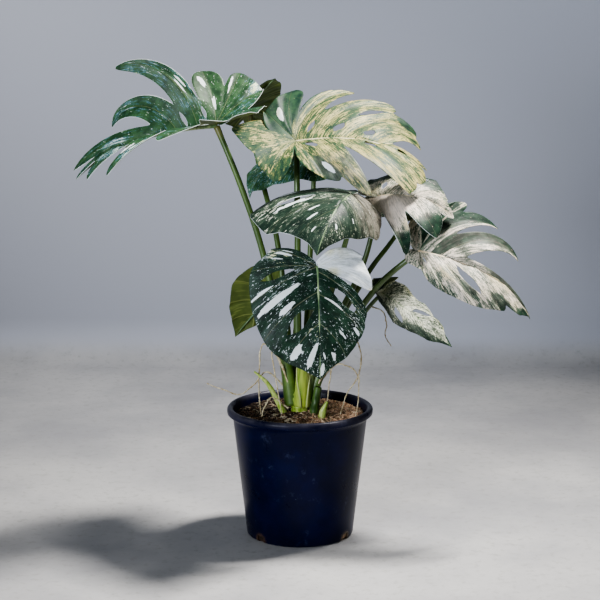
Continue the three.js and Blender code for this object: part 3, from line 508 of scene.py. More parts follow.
def blade_top(tone):
    """The upper face: a green ground, marbling that runs with the veins, and flecks of cream."""
    dark, mid, sage, strength, cream, warm = TONES[tone]
    paint = Paint("blade_top_" + tone, 0.5, Coat_Weight=0.05, Coat_Roughness=0.35, Specular_IOR_Level=0.24)
    drift, flat, lobe, level, seed, gap, mark, blush = marbling(paint)
    flecks, _, _ = paint.values("flecks")

    def fan_noise(lobes, levels, detail, roughness=0.5):
        """Noise drawn out along the veins, so fine across a lobe and so fine along it."""
        place = paint.vector(paint.times(lobe, lobes), paint.times(level, levels), seed)
        return paint.noise(place, 1.0, detail, roughness)

    dashes = fan_noise(24.0, 7.5, 3, 0.6)
    dust = paint.noise(flat, 430.0, 2, 0.5)
    drift = paint.sway(dust, 0.6, paint.sway(dashes, 1.7, drift))
    clouds = paint.noise(flat, 60.0, 5, 0.6)
    ground = paint.blend(clouds, 0.35, 0.65, dark, mid)
    colour = paint.blend(drift, 0.16, 0.46, ground, sage, strength)
    light = paint.blend(paint.noise(flat, 18.0, 2), 0.5, 0.7, cream, warm)
    shaded = fan_noise(22.0, 7.0, 4, 0.65)
    light = paint.blend(shaded, 0.44, 0.62, light, sage, 0.65 * strength)
    colour = paint.blend(drift, 0.47, 0.56, colour, light)
    dense = paint.times(flecks, paint.step(paint.noise(flat, 26.0, 3), 0.35, 0.65))
    bits = fan_noise(27.0, 13.0, 2, 0.6)
    bits = paint.math("MULTIPLY_ADD", paint.noise(flat, 420.0, 2), 0.35, bits)
    specks = paint.step(paint.math("MULTIPLY_ADD", dense, 0.09, bits), 0.87, 0.95)
    colour = paint.mix(paint.times(specks, 0.85), colour, cream)
    low, high = ("b4a29a", "d2c0b8") if tone == "pink" else ("6f675d", "a0958a")
    mauve = paint.blend(clouds, 0.4, 0.6, low, high)
    colour = paint.mix(paint.times(blush, paint.step(shaded, 0.25, 0.65)), colour, mauve)
    edge = paint.sway(dust, 0.4, paint.sway(dashes, 1.2, mark))
    spilt = paint.blend(paint.noise(flat, 22.0, 2), 0.55, 0.7, "e6ecec", cream)
    colour = paint.blend(edge, 0.4, 0.56, colour, spilt)
    thin = paint.math("MULTIPLY_ADD", level, -0.0006, 0.001)
    vein = paint.step(paint.math("DIVIDE", gap, thin), 1.0, 0.4)
    colour = paint.mix(paint.times(vein, 0.15), colour, warm)
    ribs = fan_noise(3.0, 26.0, 2)
    height = paint.math("SUBTRACT", paint.times(ribs, 0.5), paint.times(vein, 0.7))
    height = paint.math("MULTIPLY_ADD", dashes, 0.35, height)
    roughness = paint.math("MULTIPLY_ADD", shaded, 0.24, 0.4)
    return paint.finish(colour, roughness, height, 0.0008, 0.7)


def blade_under(tone):
    """The underside: matt olive with raised pale veins, and the marbling showing weakly. Its yellowish
    olive is partly the underside's own colour and partly painted light shining through the leaf.
    """
    paint = Paint("blade_under_" + tone, 0.55)
    drift, flat, lobe, level, seed, gap, mark, _ = marbling(paint)
    drift = paint.math("ADD", drift, paint.times(mark, 0.3))
    shade = paint.noise(flat, 40.0, 3)
    bands = paint.noise(paint.vector(paint.times(lobe, 4.0), level, seed), 1.5, 2)
    ground = paint.blend(shade, 0.3, 0.7, "435220", "59672b")
    ground = paint.blend(bands, 0.5, 0.65, ground, "8c964e", 0.4)
    colour = paint.blend(drift, 0.5, 0.9, ground, TONES[tone][5], 0.5)
    vein = paint.step(paint.math("DIVIDE", gap, 0.0014), 1.0, 0.3)
    colour = paint.mix(paint.times(vein, 0.5), colour, "9aa05a")
    return paint.finish(colour, None, vein, 0.0006, 0.8)


def plain_green(name, low, high, roughness, scale=(40, 40, 4)):
    """A waxy green skin, streaked along its length."""
    paint = Paint(name, roughness)
    stretched = paint.made_of("VectorMath", {"operation": "MULTIPLY"}, paint.place(), scale)
    streaks = paint.noise(stretched, 3.0, 4, 0.6)
    colour = paint.blend(streaks, 0.35, 0.65, low, high)
    return paint.finish(colour, None, streaks, 0.0005, 0.35)


class Shape:
    """A mesh in millimetres: points, faces with a material slot each, and values at each corner."""

    def __init__(self, *names):
        self.points = []
        self.faces = []
        self.slots = []
        self.values = {name: [] for name in names}

    def add(self, points, faces, slot, first=None, **values):
        """New points and the faces on them. Faces on points that are there count from first."""
        first = len(self.points) if first is None else first
        self.points.extend(points)
        self.faces.extend([[first + n for n in face] for face in faces])
        self.slots.extend([slot] * len(faces))
        for name, rows in values.items():
            self.values[name].append(np.asarray(rows, np.float32))

    def add_bar(self, points, faces, corners, slot=0, young=0.0):
        """A tube or a sheath, and how young it is."""
        self.add(points, faces, slot, bar=corners, age=np.tile([young, 0.0, 0.0], (len(corners), 1)))

    def piece(self, name, paints, slot, *nodes):
        mesh = bpy.data.meshes.new(name)
        mesh.from_pydata(np.asarray(self.points) * MM, [], self.faces)
        mesh.polygons.foreach_set("material_index", self.slots)
        mesh.polygons.foreach_set("use_smooth", [True] * len(self.faces))
        for value, rows in self.values.items():
            attribute = mesh.attributes.new(value, "FLOAT_VECTOR", "CORNER")
            attribute.data.foreach_set("vector", np.concatenate(rows).ravel())
        for paint in paints:
            mesh.materials.append(paint)
        made = placed(name, mesh)
        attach(made, "root")
        if nodes:
            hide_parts(*nodes)
        return made


def turned(vector, axis, degrees):
    """A vector turned about an axis."""
    angle = math.radians(degrees)
    return (
        vector * math.cos(angle)
        + np.cross(axis, vector) * math.sin(angle)
        + axis * np.dot(axis, vector) * (1 - math.cos(angle))
    )


def midrib_of(leaf):
    """A function that gives the places and directions (at, along, side, up) at any shares of the midrib."""
    heading = math.radians(leaf["heading"])
    side = np.array([-math.sin(heading), math.cos(heading), 0])
    along = turned(np.array([math.cos(heading), math.sin(heading), 0]), side, -leaf["pitch"])
    up = turned(np.array([0, 0, 1.0]), side, -leaf["pitch"])
    side, up = turned(side, along, leaf["roll"]), turned(up, along, leaf["roll"])
    steps = SHAPE["steps"]
    frames = [[np.array(leaf["base"], float), along, side, up]]
    for i in range(steps):
        at, along, side, up = frames[-1]
        bend = leaf["bend"] * 1.5 * math.sqrt((i + 0.5) / steps) / steps
        along, up = turned(along, side, bend), turned(up, side, bend)
        frames.append([at + along * leaf["length"] / steps, along, side, up])
    frames = np.array(frames)

    def midrib(shares):
        place = np.minimum(1, shares) * steps
        i = np.minimum(steps - 1, np.floor(place)).astype(int)
        part = (place - i)[..., None, None]
        mixed = frames[i] * (1 - part) + frames[i + 1] * part
        mixed[..., 1:, :] /= np.linalg.norm(mixed[..., 1:, :], axis=-1, keepdims=True)
        return mixed

    return midrib


def vein_of(leaf, half, midrib, hand, k):
    """One side vein: its flat line, and the same line in space with the blade's directions along it."""
    terminal = k == len(half["start"])
    start = half["tip_start"] if terminal else half["start"][k]
    length = leaf["length"] * ((1 - start) if terminal else half["reach"][k])
    keys = ("angle", "turn", "rise", "curl", "lean")
    angle, turn, rise, curl, lean = [0 if terminal else (half[key] or [0] * k + [0])[k] for key in keys]
    steps = SHAPE["steps"]
    t = np.arange(steps + 1) / steps
    a = np.radians(angle + turn * t)
    b = np.radians(rise + curl * t ** SHAPE["curl_power"])
    here = midrib(start + (1 - start) * t if terminal else np.full(steps + 1, start))
    cos_a, sin_a, cos_b, sin_b = [v[:, None] for v in (np.cos(a), np.sin(a), np.cos(b), np.sin(b))]
    along = here[:, 1] * cos_a * cos_b + here[:, 2] * hand * sin_a * cos_b + here[:, 3] * sin_b
    level_across = here[:, 1] * sin_a - here[:, 2] * hand * cos_a
    lean_now = np.radians(lean * t)[:, None]
    across = level_across * np.cos(lean_now) + np.cross(along, level_across) * hand * np.sin(lean_now)
    middle = np.radians(angle + turn * (t[:-1] + 0.5 / steps))
    moves = np.stack([np.sin(middle), np.cos(middle)], 1) * length / steps
    flat = np.vstack([[0, 0], np.cumsum(moves, 0)]) + [0, leaf["length"] * start]
    at = here[0, 0] + np.vstack([[0, 0, 0], np.cumsum(along[:-1], 0) * length / steps])
    return {
        "start": start,
        "flat": flat,
        "flat_along": np.stack([np.sin(a), np.cos(a)], 1),
        "flat_across": np.stack([-np.cos(a), np.sin(a)], 1),
        "at": here[:, 0] if terminal else at,
        "along": along,
        "across": across,
    }


def past_cut(half, web, levels):
    """How far each level is past the start of a web's cut, as a share of the way to the margin."""
    cut = half["cut"][web]
    return np.maximum(0, levels - cut) / (LEVELS - cut if cut < LEVELS else 1)


def opening_of(half, web, levels):
    """How far the web between two lobes is open at each level: 0 where it is joined."""
    opening = half["open"][web] * past_cut(half, web, levels) ** SHAPE["cut_power"]
    for place, low, high, width in half["windows"]:
        if place == web:
            inside = (levels > low) & (levels < high)
            opening = np.where(inside, width * np.sin(np.pi * (levels - low) / (high - low)), opening)
    return opening


def web_point(veins, web, share, i):
    """The flat points of a web, from share 0 on the vein before it to share 1 on the vein after it."""
    s = share[:, None]
    b = veins[web]["flat"][i]
    c = veins[web + 1]["flat"][i]
    if web + 1 == len(veins) - 1:
        drawn = (b + c) / 2 * [SHAPE["drawn_in"], 1]
        return b * (1 - s) ** 2 + drawn * 2 * s * (1 - s) + c * s ** 2
    a = veins[web - 1]["flat"][i] if web > 0 else 2 * b - c
    d = veins[web + 2]["flat"][i]
    return (
        a * (-s + 2 * s * s - s ** 3) / 2
        + b * (2 - 5 * s * s + 3 * s ** 3) / 2
        + c * (s + 4 * s * s - 3 * s ** 3) / 2
        + d * (-s * s + s ** 3) / 2
    )


def place_on(vein, flat, i):
    """Where flat points near a vein lie in space."""
    off = flat - vein["flat"][i]
    over = np.sum(off * vein["flat_along"][i], 1, keepdims=True)
    aside = np.sum(off * vein["flat_across"][i], 1, keepdims=True)
    return vein["at"][i] + vein["along"][i] * over + vein["across"][i] * aside


def lobe_line(leaf, half, veins, k, q, rows):
    """A line of points along lobe k, with q from -1 at the cut before the lobe to 1 at the cut after it."""
    i = np.arange(rows + 1)
    levels = i * LEVELS / rows
    vein = veins[k]
    web = k - 1 if q < 0 else k
    if web < 0:
        width = half["lap"] * leaf["length"] * np.sin(np.pi * (0.12 + 0.83 * levels / LEVELS)) * abs(q)
        flat = vein["flat"] - vein["flat_across"] * width[:, None]
        return place_on(vein, flat, i), flat, np.full(rows + 1, abs(q) / 2), np.zeros(rows + 1, bool)
    opening, past = opening_of(half, web, levels), past_cut(half, web, levels)
    rest = np.minimum(i, round(half["cut"][web] * rows / LEVELS))
    meeting = web_point(veins, web, np.full(rows + 1, 0.5), rest)
    slip = place_on(veins[k - 1 if q < 0 else k + 1], meeting, rest) - place_on(vein, meeting, rest)
    share = abs(q) / 2 * (1 - opening) * (1 - past ** SHAPE["tip_power"]) ** SHAPE["tip_round"]
    flat = web_point(veins, web, 1 - share if q < 0 else share, i)
    joined = (opening == 0) & (past == 0)
    return place_on(vein, flat, i) + slip * share[:, None], flat, share, joined


def patched(amount, patches, hand, lobe, level):
    """An amount of colour at a place of a blade, with what its patches add."""
    for side, middle, wide, low, high, added in patches:
        if side in (0, hand):
            away = ((lobe - middle) / wide) ** 2 + ((level - (low + high) / 2) / ((high - low) / 2)) ** 2
            amount += added * PATCH_PEAK * max(0, 1 - away * away)
    return amount


def blade(letter):
    """The middle surface of a leaf: points, faces as rings of sites, and each site's point and values."""
    leaf, look = LEAVES[letter], LOOKS[letter]
    rows, strips = BLADE["rows"], BLADE["strips"]
    midrib = midrib_of(leaf)
    points, numbers, shares = [], {}, {}
    sites, rings = [], []
    seed = ord(letter) * 3.7

    def number_of(key, point):
        if key not in numbers:
            numbers[key] = len(points)
            points.append(point)
        return numbers[key]

    def on_midrib(share):
        key = round(float(share) * 1e5)
        number = number_of(key, midrib(np.array(float(share)))[0])
        shares[number] = float(share)
        return number

    def add_site(number, hand, lobe, level, flat, gap):
        """A place on the blade, with its lift off the smooth surface and the amounts of its colours."""
        wave = level * level * math.sin(5.6 * lobe + seed + hand) * 1.5
        wave += level * math.sin(13.0 * lobe - 4 * level + seed) * 0.5
        wave *= 1 - math.exp(-((flat[0] / 12) ** 2))
        lift = wave + BLADE["quilting"] * gap * (1 - 0.5 * min(1, gap / 30))
        cream, blush, mark = (
            patched(start, look.get(name, []), hand, lobe, level)
            for start, name in ((look["cream"], "patches"), (0, "blush"), (0, "marks"))
        )
        sites.append((number, lobe, level, hand * flat[0], flat[1], gap, cream, lift, blush, mark))
        return len(sites) - 1

    for hand, side in ((1, "left"), (-1, "right")):
        own = {**leaf.get("both", {}), **leaf.get(side, {})}
        half = {"lap": 0.1, "lean": [], **FORMS[leaf["form"]], **own}
        count = len(half["start"])
        veins = [vein_of(leaf, half, midrib, hand, k) for k in range(count + 1)]
        for k, vein in enumerate(veins):
            grid = []
            for c in range(strips + 1 if k == count else 2 * strips + 1):
                q = c / strips - 1
                web = k - 1 if q < 0 else k
                after = 0 if web < 0 else veins[min(count, web if q < 0 else web + 1)]["start"]
                root = vein["start"] + (after - vein["start"]) / 2 * abs(q)
                line, flat, share, joined = (
                    (vein["at"], vein["flat"], np.zeros(rows + 1), None)
                    if q == 0 else lobe_line(leaf, half, veins, k, q, rows)
                )
                lobes = k + np.sign(q) * share
                gaps = np.linalg.norm(flat - vein["flat"], axis=1)
                column = []
                for i in range(rows + 1):
                    if i == 0:
                        number = on_midrib(root)
                    elif q == 0 and k == count:
                        number = on_midrib(vein["start"] + (1 - vein["start"]) * i / rows)
                    elif q == 0 or share[i] < 1e-6:
                        number = number_of((hand, k, i), vein["at"][i])
                    elif abs(q) == 1 and joined[i]:
                        number = number_of((hand, "web", web, i), line[i])
                    else:
                        number = number_of((hand, k, c, i), line[i])
                    here = (0, leaf["length"] * root) if i == 0 else flat[i]
                    gap = float(gaps[i]) if i else 0.0
                    column.append(add_site(number, hand, float(lobes[i]), i / rows, here, gap))
                grid.append(column)
            for c in range(len(grid) - 1):
                for i in range(rows):
                    ring = [grid[c][i], grid[c][i + 1], grid[c + 1][i + 1], grid[c + 1][i]]
                    rings.append(ring if hand < 0 else ring[::-1])

    # The two halves meet at every point of the midrib
    chain = sorted(shares.values())
    number_at = {share: number for number, share in shares.items()}
    faces = []
    for ring in rings:
        whole = []
        for n, site in enumerate(ring):
            following = ring[(n + 1) % 4]
            here, there = sites[site][0], sites[following][0]
            if here == there:
                continue
            whole.append(site)
            if here in shares and there in shares:
                low, high = shares[here], shares[there]
                between = [s for s in chain if min(low, high) < s < max(low, high)]
                for share in between if low < high else between[::-1]:
                    part = (share - low) / (high - low)
                    mixed = [p + (r - p) * part for p, r in zip(sites[site][1:], sites[following][1:])]
                    sites.append((number_at[share], *mixed))
                    whole.append(len(sites) - 1)
        if len(whole) > 2:
            faces.append(whole)
    numbers_of = np.array([s[0] for s in sites])
    return np.array(points), faces, np.array([s[1:] for s in sites]), numbers_of, seed


def point_normals(points, faces):
    mesh = bpy.data.meshes.new("normals")
    mesh.from_pydata(points, [], faces)
    mesh.update()
    normals = np.zeros(len(points) * 3, np.float32)
    mesh.vertex_normals.foreach_get("vector", normals)
    bpy.data.meshes.remove(mesh)
    return normals.reshape(-1, 3).astype(float)


def curve_through(points, radii, steps):
    """A smooth centripetal curve through points, and the radius at each of its points."""
    p = np.array(points, float)
    p = np.vstack([2 * p[0] - p[1], p, 2 * p[-1] - p[-2]])
    spans = np.linspace(0, len(points) - 1, steps + 1)
    path = []
    for place in spans:
        n = min(int(place), len(points) - 2)
        w = place - n
        x0, x1, x2, x3 = p[n:n + 4]
        d0, d1, d2 = [math.sqrt(np.linalg.norm(v)) for v in (x1 - x0, x2 - x1, x3 - x2)]
        t1 = ((x1 - x0) / d0 - (x2 - x0) / (d0 + d1) + (x2 - x1) / d1) * d1
        t2 = ((x2 - x1) / d1 - (x3 - x1) / (d1 + d2) + (x3 - x2) / d2) * d1
        square, cube = -3 * x1 + 3 * x2 - 2 * t1 - t2, 2 * x1 - 2 * x2 + t1 + t2
        path.append(x1 + t1 * w + square * w * w + cube * w ** 3)
    return np.array(path), np.interp(spans, np.arange(len(radii)), radii)


def sections_of(path, last):
    """Two directions across a path at each of its points, up to the last one, without a twist."""
    across = np.array([0, 1.0, 0])
    for i in range(last + 1):
        along = path[min(len(path) - 1, i + 1)] - path[max(0, i - 1)]
        along /= np.linalg.norm(along)
        across = across - along * np.dot(across, along)
        across /= np.linalg.norm(across)
        yield i, across, np.cross(along, across)


def tube(path, radius, sides, ripple=0.0, seed=0.0):
    """A closed round tube: points, faces, and at each corner its share, its length along and its turn."""
    steps = len(path) - 1
    lengths = np.concatenate([[0], np.cumsum(np.linalg.norm(np.diff(path, axis=0), axis=1))])
    made, faces, values = [], [], []
    for i, across, other in sections_of(path, steps):
        for s in range(sides):
            turn = 2 * math.pi * s / sides
            a, b = math.cos(turn), math.sin(turn)
            swell = 1 + ripple * noise.noise(Vector((lengths[i] * 0.11 + seed, a, b)))
            made.append(path[i] + (across * a + other * b) * radius[i] * swell)

    def value(i, s):
        return (i / steps, lengths[i] * MM, s / sides)

    for i in range(steps):
        for s in range(sides):
            after = (s + 1) % sides
            faces.append([i * sides + s, i * sides + after, (i + 1) * sides + after, (i + 1) * sides + s])
            values.extend([value(i, s), value(i, s + 1), value(i + 1, s + 1), value(i + 1, s)])
    faces.append(list(range(sides))[::-1])
    values.extend([value(0, 0)] * sides)
    faces.append([steps * sides + s for s in range(sides)])
    values.extend([value(steps, 0)] * sides)
    return made, faces, values


def make_leaf(letter):
    """A thin blade with a rounded margin, quilted between its veins, and its midrib."""
    leaf, look = LEAVES[letter], LOOKS[letter]
    points, faces, values, numbers, seed = blade(letter)
    rings = [[numbers[site] for site in face] for face in faces]
    normals = point_normals(points, rings)
    lift = np.zeros(len(points))
    lift[numbers] = values[:, 6]
    aside = np.zeros(len(points))
    aside[numbers] = np.abs(values[:, 2])
    points = points + normals * lift[:, None]
    groove = BLADE["groove"] * np.exp(-(aside / 3) ** 2)
    half = BLADE["thickness"] / 2
    shape = Shape("fan", "flat", "mask", "flecks")

    def corners(order):
        picked = values[order]
        same = np.ones(len(order))
        return {
            "fan": np.stack([picked[:, 0], picked[:, 1], same * seed], 1),
            "flat": picked[:, 2:5] * MM,
            "mask": np.stack([picked[:, 5], picked[:, 8], picked[:, 7]], 1),
            "flecks": np.stack([same * look["flecks"], same * 0, same * 0], 1),
        }

    directed = {}
    for face in faces:
        for n, site in enumerate(face):
            following = face[(n + 1) % len(face)]
            directed[(numbers[site], numbers[following])] = (site, following)
    margin = [edge for edge in directed if (edge[1], edge[0]) not in directed]
    outward = np.zeros_like(points)
    for a, b in margin:
        out = np.cross(points[b] - points[a], normals[a])
        out /= max(1e-9, np.linalg.norm(out))
        outward[a] += out
        outward[b] += out
    outward /= np.maximum(1e-9, np.linalg.norm(outward, axis=1, keepdims=True))
    on_margin = sorted({n for edge in margin for n in edge})
    middle_of = {n: 2 * len(points) + i for i, n in enumerate(on_margin)}
    top = points + normals * (half - groove)[:, None]
    under = points - normals * (half + 0.3 * groove)[:, None]
    middle = points[on_margin] + outward[on_margin] * half * 1.2
    count = len(points)
    shape.add([*top, *under, *middle], rings, 0, **corners([s for face in faces for s in face]))
    backs = [[count + n for n in ring[::-1]] for ring in rings]
    shape.add([], backs, 1, 0, **corners([s for face in faces for s in face[::-1]]))
    rim, order = [], []
    for a, b in margin:
        site_a, site_b = directed[(a, b)]
        rim.append([b, a, middle_of[a], middle_of[b]])
        rim.append([middle_of[b], middle_of[a], count + a, count + b])
        order.extend([site_b, site_a, site_a, site_b] * 2)
    rim_values = corners(order)
    rim_values["mask"][:, 1] = look.get("rim", 0.0)
    shape.add([], rim, 0, 0, **rim_values)

    # The midrib, sunk into the blade from below
    midrib = midrib_of(leaf)
    shares = np.linspace(0, MIDRIB["share"], MIDRIB["steps"])
    frames = midrib(shares)
    start_r = STALKS[letter][1][-1]
    radius = (0.78 * (1 - shares) ** MIDRIB["taper"] + 0.1) * start_r
    path = frames[:, 0] - frames[:, 3] * (0.72 * radius)[:, None]
    radius[0] = start_r
    path[0] = frames[0, 0] - frames[0, 3] * JOINT["drop"] - frames[0, 1] * MIDRIB["behind"]
    made, sides, corner_values = tube(path, radius, MIDRIB["sides"])
    blank = np.zeros((len(corner_values), 3))
    shape.add(made, sides, 2, fan=blank, flat=blank, mask=blank, flecks=blank)
    paints = [TOPS[look["tone"]], UNDERS[look["tone"]], RIBS[look["tone"]]]
    return shape.piece("blade_" + letter, paints, look["slot"], "leaf_" + letter)


def sheath_of(path, radius, facing):
    """An open wrap round the lower part of a stalk, wide at the crown and closing to a tip on the stalk."""
    last = int(len(path) * SHEATH["share"])
    sides = SHEATH["sides"]
    points, faces, values = [], [], []
    for i, across, other in sections_of(path, last):
        t = i / last
        spread = math.radians(SHEATH["wrap"]) * (1 - t ** SHEATH["closing"]) + 0.12
        flare = 0.5 + 1.1 * (1 - t)
        for s in range(sides + 1):
            q = 2 * s / sides - 1
            turn = math.radians(facing) + spread * q
            way = across * math.cos(turn) + other * math.sin(turn)
            for thick in (flare + 0.9 * abs(q) ** 6, -0.6):
                points.append(path[i] + way * (radius[i] + thick))
    width = 2 * (sides + 1)

    def add(ring, corners):
        faces.append(ring)
        values.extend(corners)

    for i in range(last):
        low, high = i / last, (i + 1) / last
        for s in range(sides):
            n = i * width + 2 * s
            up = n + width
            q, r = [abs(2 * (s + d) / sides - 1) ** 5 for d in (0, 1)]
            corners = [(low, q, 0.3), (low, r, 0.3), (high, r, 0.3), (high, q, 0.3)]
            add([n, n + 2, up + 2, up], corners)
            add([n + 1, up + 1, up + 3, n + 3], [corners[0], *corners[:0:-1]])
        for n in (i * width, i * width + 2 * sides):
            up = n + width
            add([n, up, up + 1, n + 1] if n == i * width else [n, n + 1, up + 1, up], [(low, 1, 0.3)] * 4)
    for i in (0, last):
        for s in range(sides):
            n = i * width + 2 * s
            add([n, n + 1, n + 3, n + 2] if i == 0 else [n, n + 2, n + 3, n + 1], [(i / last, 1, 0.3)] * 4)
    return points, faces, values


def make_bar(
    name, node, points, radii, paints, slot, sides, steps, ripple, swell=0.0, young=0.0, facing=None,
):
    """A stalk or shoot as a round tube, with a swollen joint at its end and a sheath where given."""
    path, radius = curve_through(points, radii, steps)
    shares = np.linspace(0, 1, steps + 1)
    radius *= 1 + swell * np.exp(-(((1 - shares) / JOINT["long"]) ** 2))
    shape = Shape("bar", "age")
    shape.add_bar(*tube(path, radius, sides, ripple, len(name) * 1.7 + ord(name[-1])), 0, young)
    if facing is not None:
        shape.add_bar(*sheath_of(path, radius, facing), 1, young)
    return shape.piece(name, paints, slot, node)


def make_root(name, node, points, radii, draw):
    """A thin root with knots and bends, and rootlets along it."""
    path, radius = curve_through(points, radii, 90)
    sway = np.cumsum(draw.normal(0, 0.32, path.shape), axis=0)
    sway -= np.linspace(0, 1, len(path))[:, None] * sway[-1]
    ends_still = np.sin(np.linspace(0, math.pi, len(path)))[:, None]
    path = path + 0.5 * (sway + np.roll(sway, 1, axis=0)) * ends_still
    radius *= 1 + 0.5 * np.clip(draw.normal(0, 0.4, len(path)), -0.5, 1.3)
    shape = Shape("bar", "age")
    shape.add_bar(*tube(path, radius, 8))
    for _ in range(ROOTLET["count"]):
        start = int(draw.integers(12, 80))
        way = draw.normal(size=3) * [1, 1, 0.7]
        way /= np.linalg.norm(way)
        length = draw.uniform(*ROOTLET["long"])
        steps = np.linspace(0, 1, 9)[:, None]
        line = path[start] + way * length * steps + np.array([0, 0, -0.3 * length]) * steps ** 2
        shape.add_bar(*tube(line, np.linspace(*ROOTLET["radii"], 9), 5))
    return shape.piece(name, [root_skin], "root", node)


def make_crown():
    """The thick stem: node rings, scars of old leaves, and small buds of roots."""
    path, radius = curve_through(*STEM, 90)
    for ring in STEM_RINGS:
        above = path[:, 2] - ring
        groove, ridge = np.exp(-((above / 1.1) ** 2)), np.exp(-(((above - 3) / 2) ** 2))
        radius = radius * (1 - 0.07 * groove + 0.06 * ridge)
    shape = Shape("bar", "age")
    shape.add_bar(*tube(path, radius, 48, 0.09, 4.0), 0, 1.0)
    draw = np.random.default_rng(5)
    for _ in range(BUD["count"]):
        turn, z = draw.uniform(0, 2 * math.pi), draw.uniform(*BUD["heights"])
        here = np.array([BUD["reach"] * math.cos(turn), BUD["reach"] * math.sin(turn) - 2, z])
        way = np.array([math.cos(turn), math.sin(turn), -0.2])
        line = here + way * np.linspace(-1.5, draw.uniform(*BUD["long"]), 7)[:, None]
        shape.add_bar(*tube(line, BUD["r"] * np.sqrt(np.linspace(1, 0.06, 7)), 10), 1)
    return shape.piece("crown", [stem_skin, root_skin], "stem", "stem")


def rounded(profile, radius, steps=4):
    """A profile with its corners rounded."""
    profile = [np.array(p, float) for p in profile]
    line = [profile[0]]
    for before, corner, after in zip(profile, profile[1:], profile[2:]):
        ends = []
        for other in (before, after):
            away = other - corner
            length = np.linalg.norm(away)
            ends.append(corner + away * min(radius, 0.45 * length) / length)
        for n in range(steps + 1):
            s = n / steps
            line.append(ends[0] * (1 - s) ** 2 + corner * 2 * s * (1 - s) + ends[1] * s * s)
    line.append(profile[-1])
    return line


def lathe(profile, segments):
    """A body turned from a profile that starts and ends on the axis."""
    points, faces = [], []
    rows = []
    for r, z in profile:
        if r < 1e-6:
            rows.append([len(points)] * segments)
            points.append((0, 0, z))
            continue
        rows.append(list(range(len(points), len(points) + segments)))
        for s in range(segments):
            turn = 2 * math.pi * s / segments
            points.append((r * math.cos(turn), r * math.sin(turn), z))
    for lower, upper in zip(rows, rows[1:]):
        for s in range(segments):
            t = (s + 1) % segments
            ring = [lower[s], lower[t], upper[t], upper[s]]
            ring = [n for i, n in enumerate(ring) if n != ring[i - 1]]
            faces.append(ring)
    return points, faces


def make_pot():
    h, base, top, rim, wall = POT["height"], POT["base_r"], POT["top_r"], POT["rim_r"], POT["wall"]
    foot = h - POT["lip"]
    profile = rounded([
        (0, 0), (base - 3, 0), (base, 2), (top, foot - 6.5), (top + 3.5, foot - 0.5),
        (rim - 1, foot), (rim, foot + 2.5), (rim, h - 4), (rim - 2.5, h - 0.8), (rim - 6.5, h),
        (top - 0.5, h - 3), (top - wall, h - 14), (base - wall, POT["floor"]), (0, POT["floor"]),
    ], 2.2)
    shape = Shape()
    shape.add(*lathe(profile, 180), 0)
    pot = shape.piece("nursery_pot", [pot_paint()], "pot", "pot")
    cutter = bmesh.new()
    for degrees in NOTCH["turns"]:
        box = bmesh.ops.create_cube(cutter, size=1)["verts"]
        turn = math.radians(degrees)
        for vertex in box:
            x, y, z = vertex.co
            x, y, z = base + x * NOTCH["depth"], y * NOTCH["width"], z * 2 * NOTCH["height"]
            c, s = math.cos(turn), math.sin(turn)
            vertex.co = Vector((x * c - y * s, x * s + y * c, z)) * MM
    mesh = bpy.data.meshes.new("notches")
    cutter.to_mesh(mesh)
    cutter.free()
    notches = placed("notches", mesh)
    cut = pot.modifiers.new("cut", "BOOLEAN")
    cut.object = notches
    cut.operation = "DIFFERENCE"
    cut.solver = "EXACT"
    depsgraph = bpy.context.evaluated_depsgraph_get()
    whole = bpy.data.meshes.new_from_object(pot.evaluated_get(depsgraph))
    pot.modifiers.clear()
    pot.data = whole
    bpy.data.objects.remove(notches)
    whole.set_sharp_from_angle(angle=math.radians(35))


def pot_paint():
    """Satin navy plastic with a little dust, pale scuffs, soil in the drain notches, and a pale band on the
    lip that is partly dust and partly a painted highlight.
    """
    paint = Paint("navy_plastic", 0.36, Specular_IOR_Level=0.1)
    place = paint.place()
    dust = paint.noise(place, 14.0, 5, 0.6)
    colour = paint.blend(dust, 0.35, 0.75, "040a26", "080f38")
    scuffs = paint.spots(place, 130.0, 0.07, 0.16)
    worn = paint.math("MULTIPLY_ADD", scuffs, 0.25, paint.noise(place, 38.0, 5, 0.7))
    colour = paint.blend(worn, 0.58, 0.82, colour, "5f6a8c", 0.3)
    grains = paint.noise(place, 420.0, 3)
    for degrees, tint in zip(NOTCH["turns"], ("5a4636", "8c7a64", "5a4636", "5a4636")):
        turn = math.radians(degrees)
        away = paint.node("VectorMath", {"operation": "DISTANCE"}, Vector=place)
        x, y = POT["base_r"] * math.cos(turn) * MM, POT["base_r"] * math.sin(turn) * MM
        away.inputs[1].default_value = (x, y, 0.004)
        near = paint.math("MULTIPLY_ADD", grains, 0.012, away.outputs["Value"])
        colour = paint.blend(near, 0.022, 0.014, colour, tint, 0.75)
    height = paint.node("SeparateXYZ", Vector=place).outputs[2]
    # A pale band along the top of the lip: partly dust and partly a painted highlight along the rim.
    lip = paint.times(paint.step(height, 0.214, 0.2235), paint.step(dust, 0.3, 0.6))
    colour = paint.mix(paint.times(lip, 0.24), colour, "84807e")
    roughness = paint.math("MULTIPLY_ADD", dust, 0.3, 0.16)
    return paint.finish(colour, roughness, grains, 0.0002, 0.25)


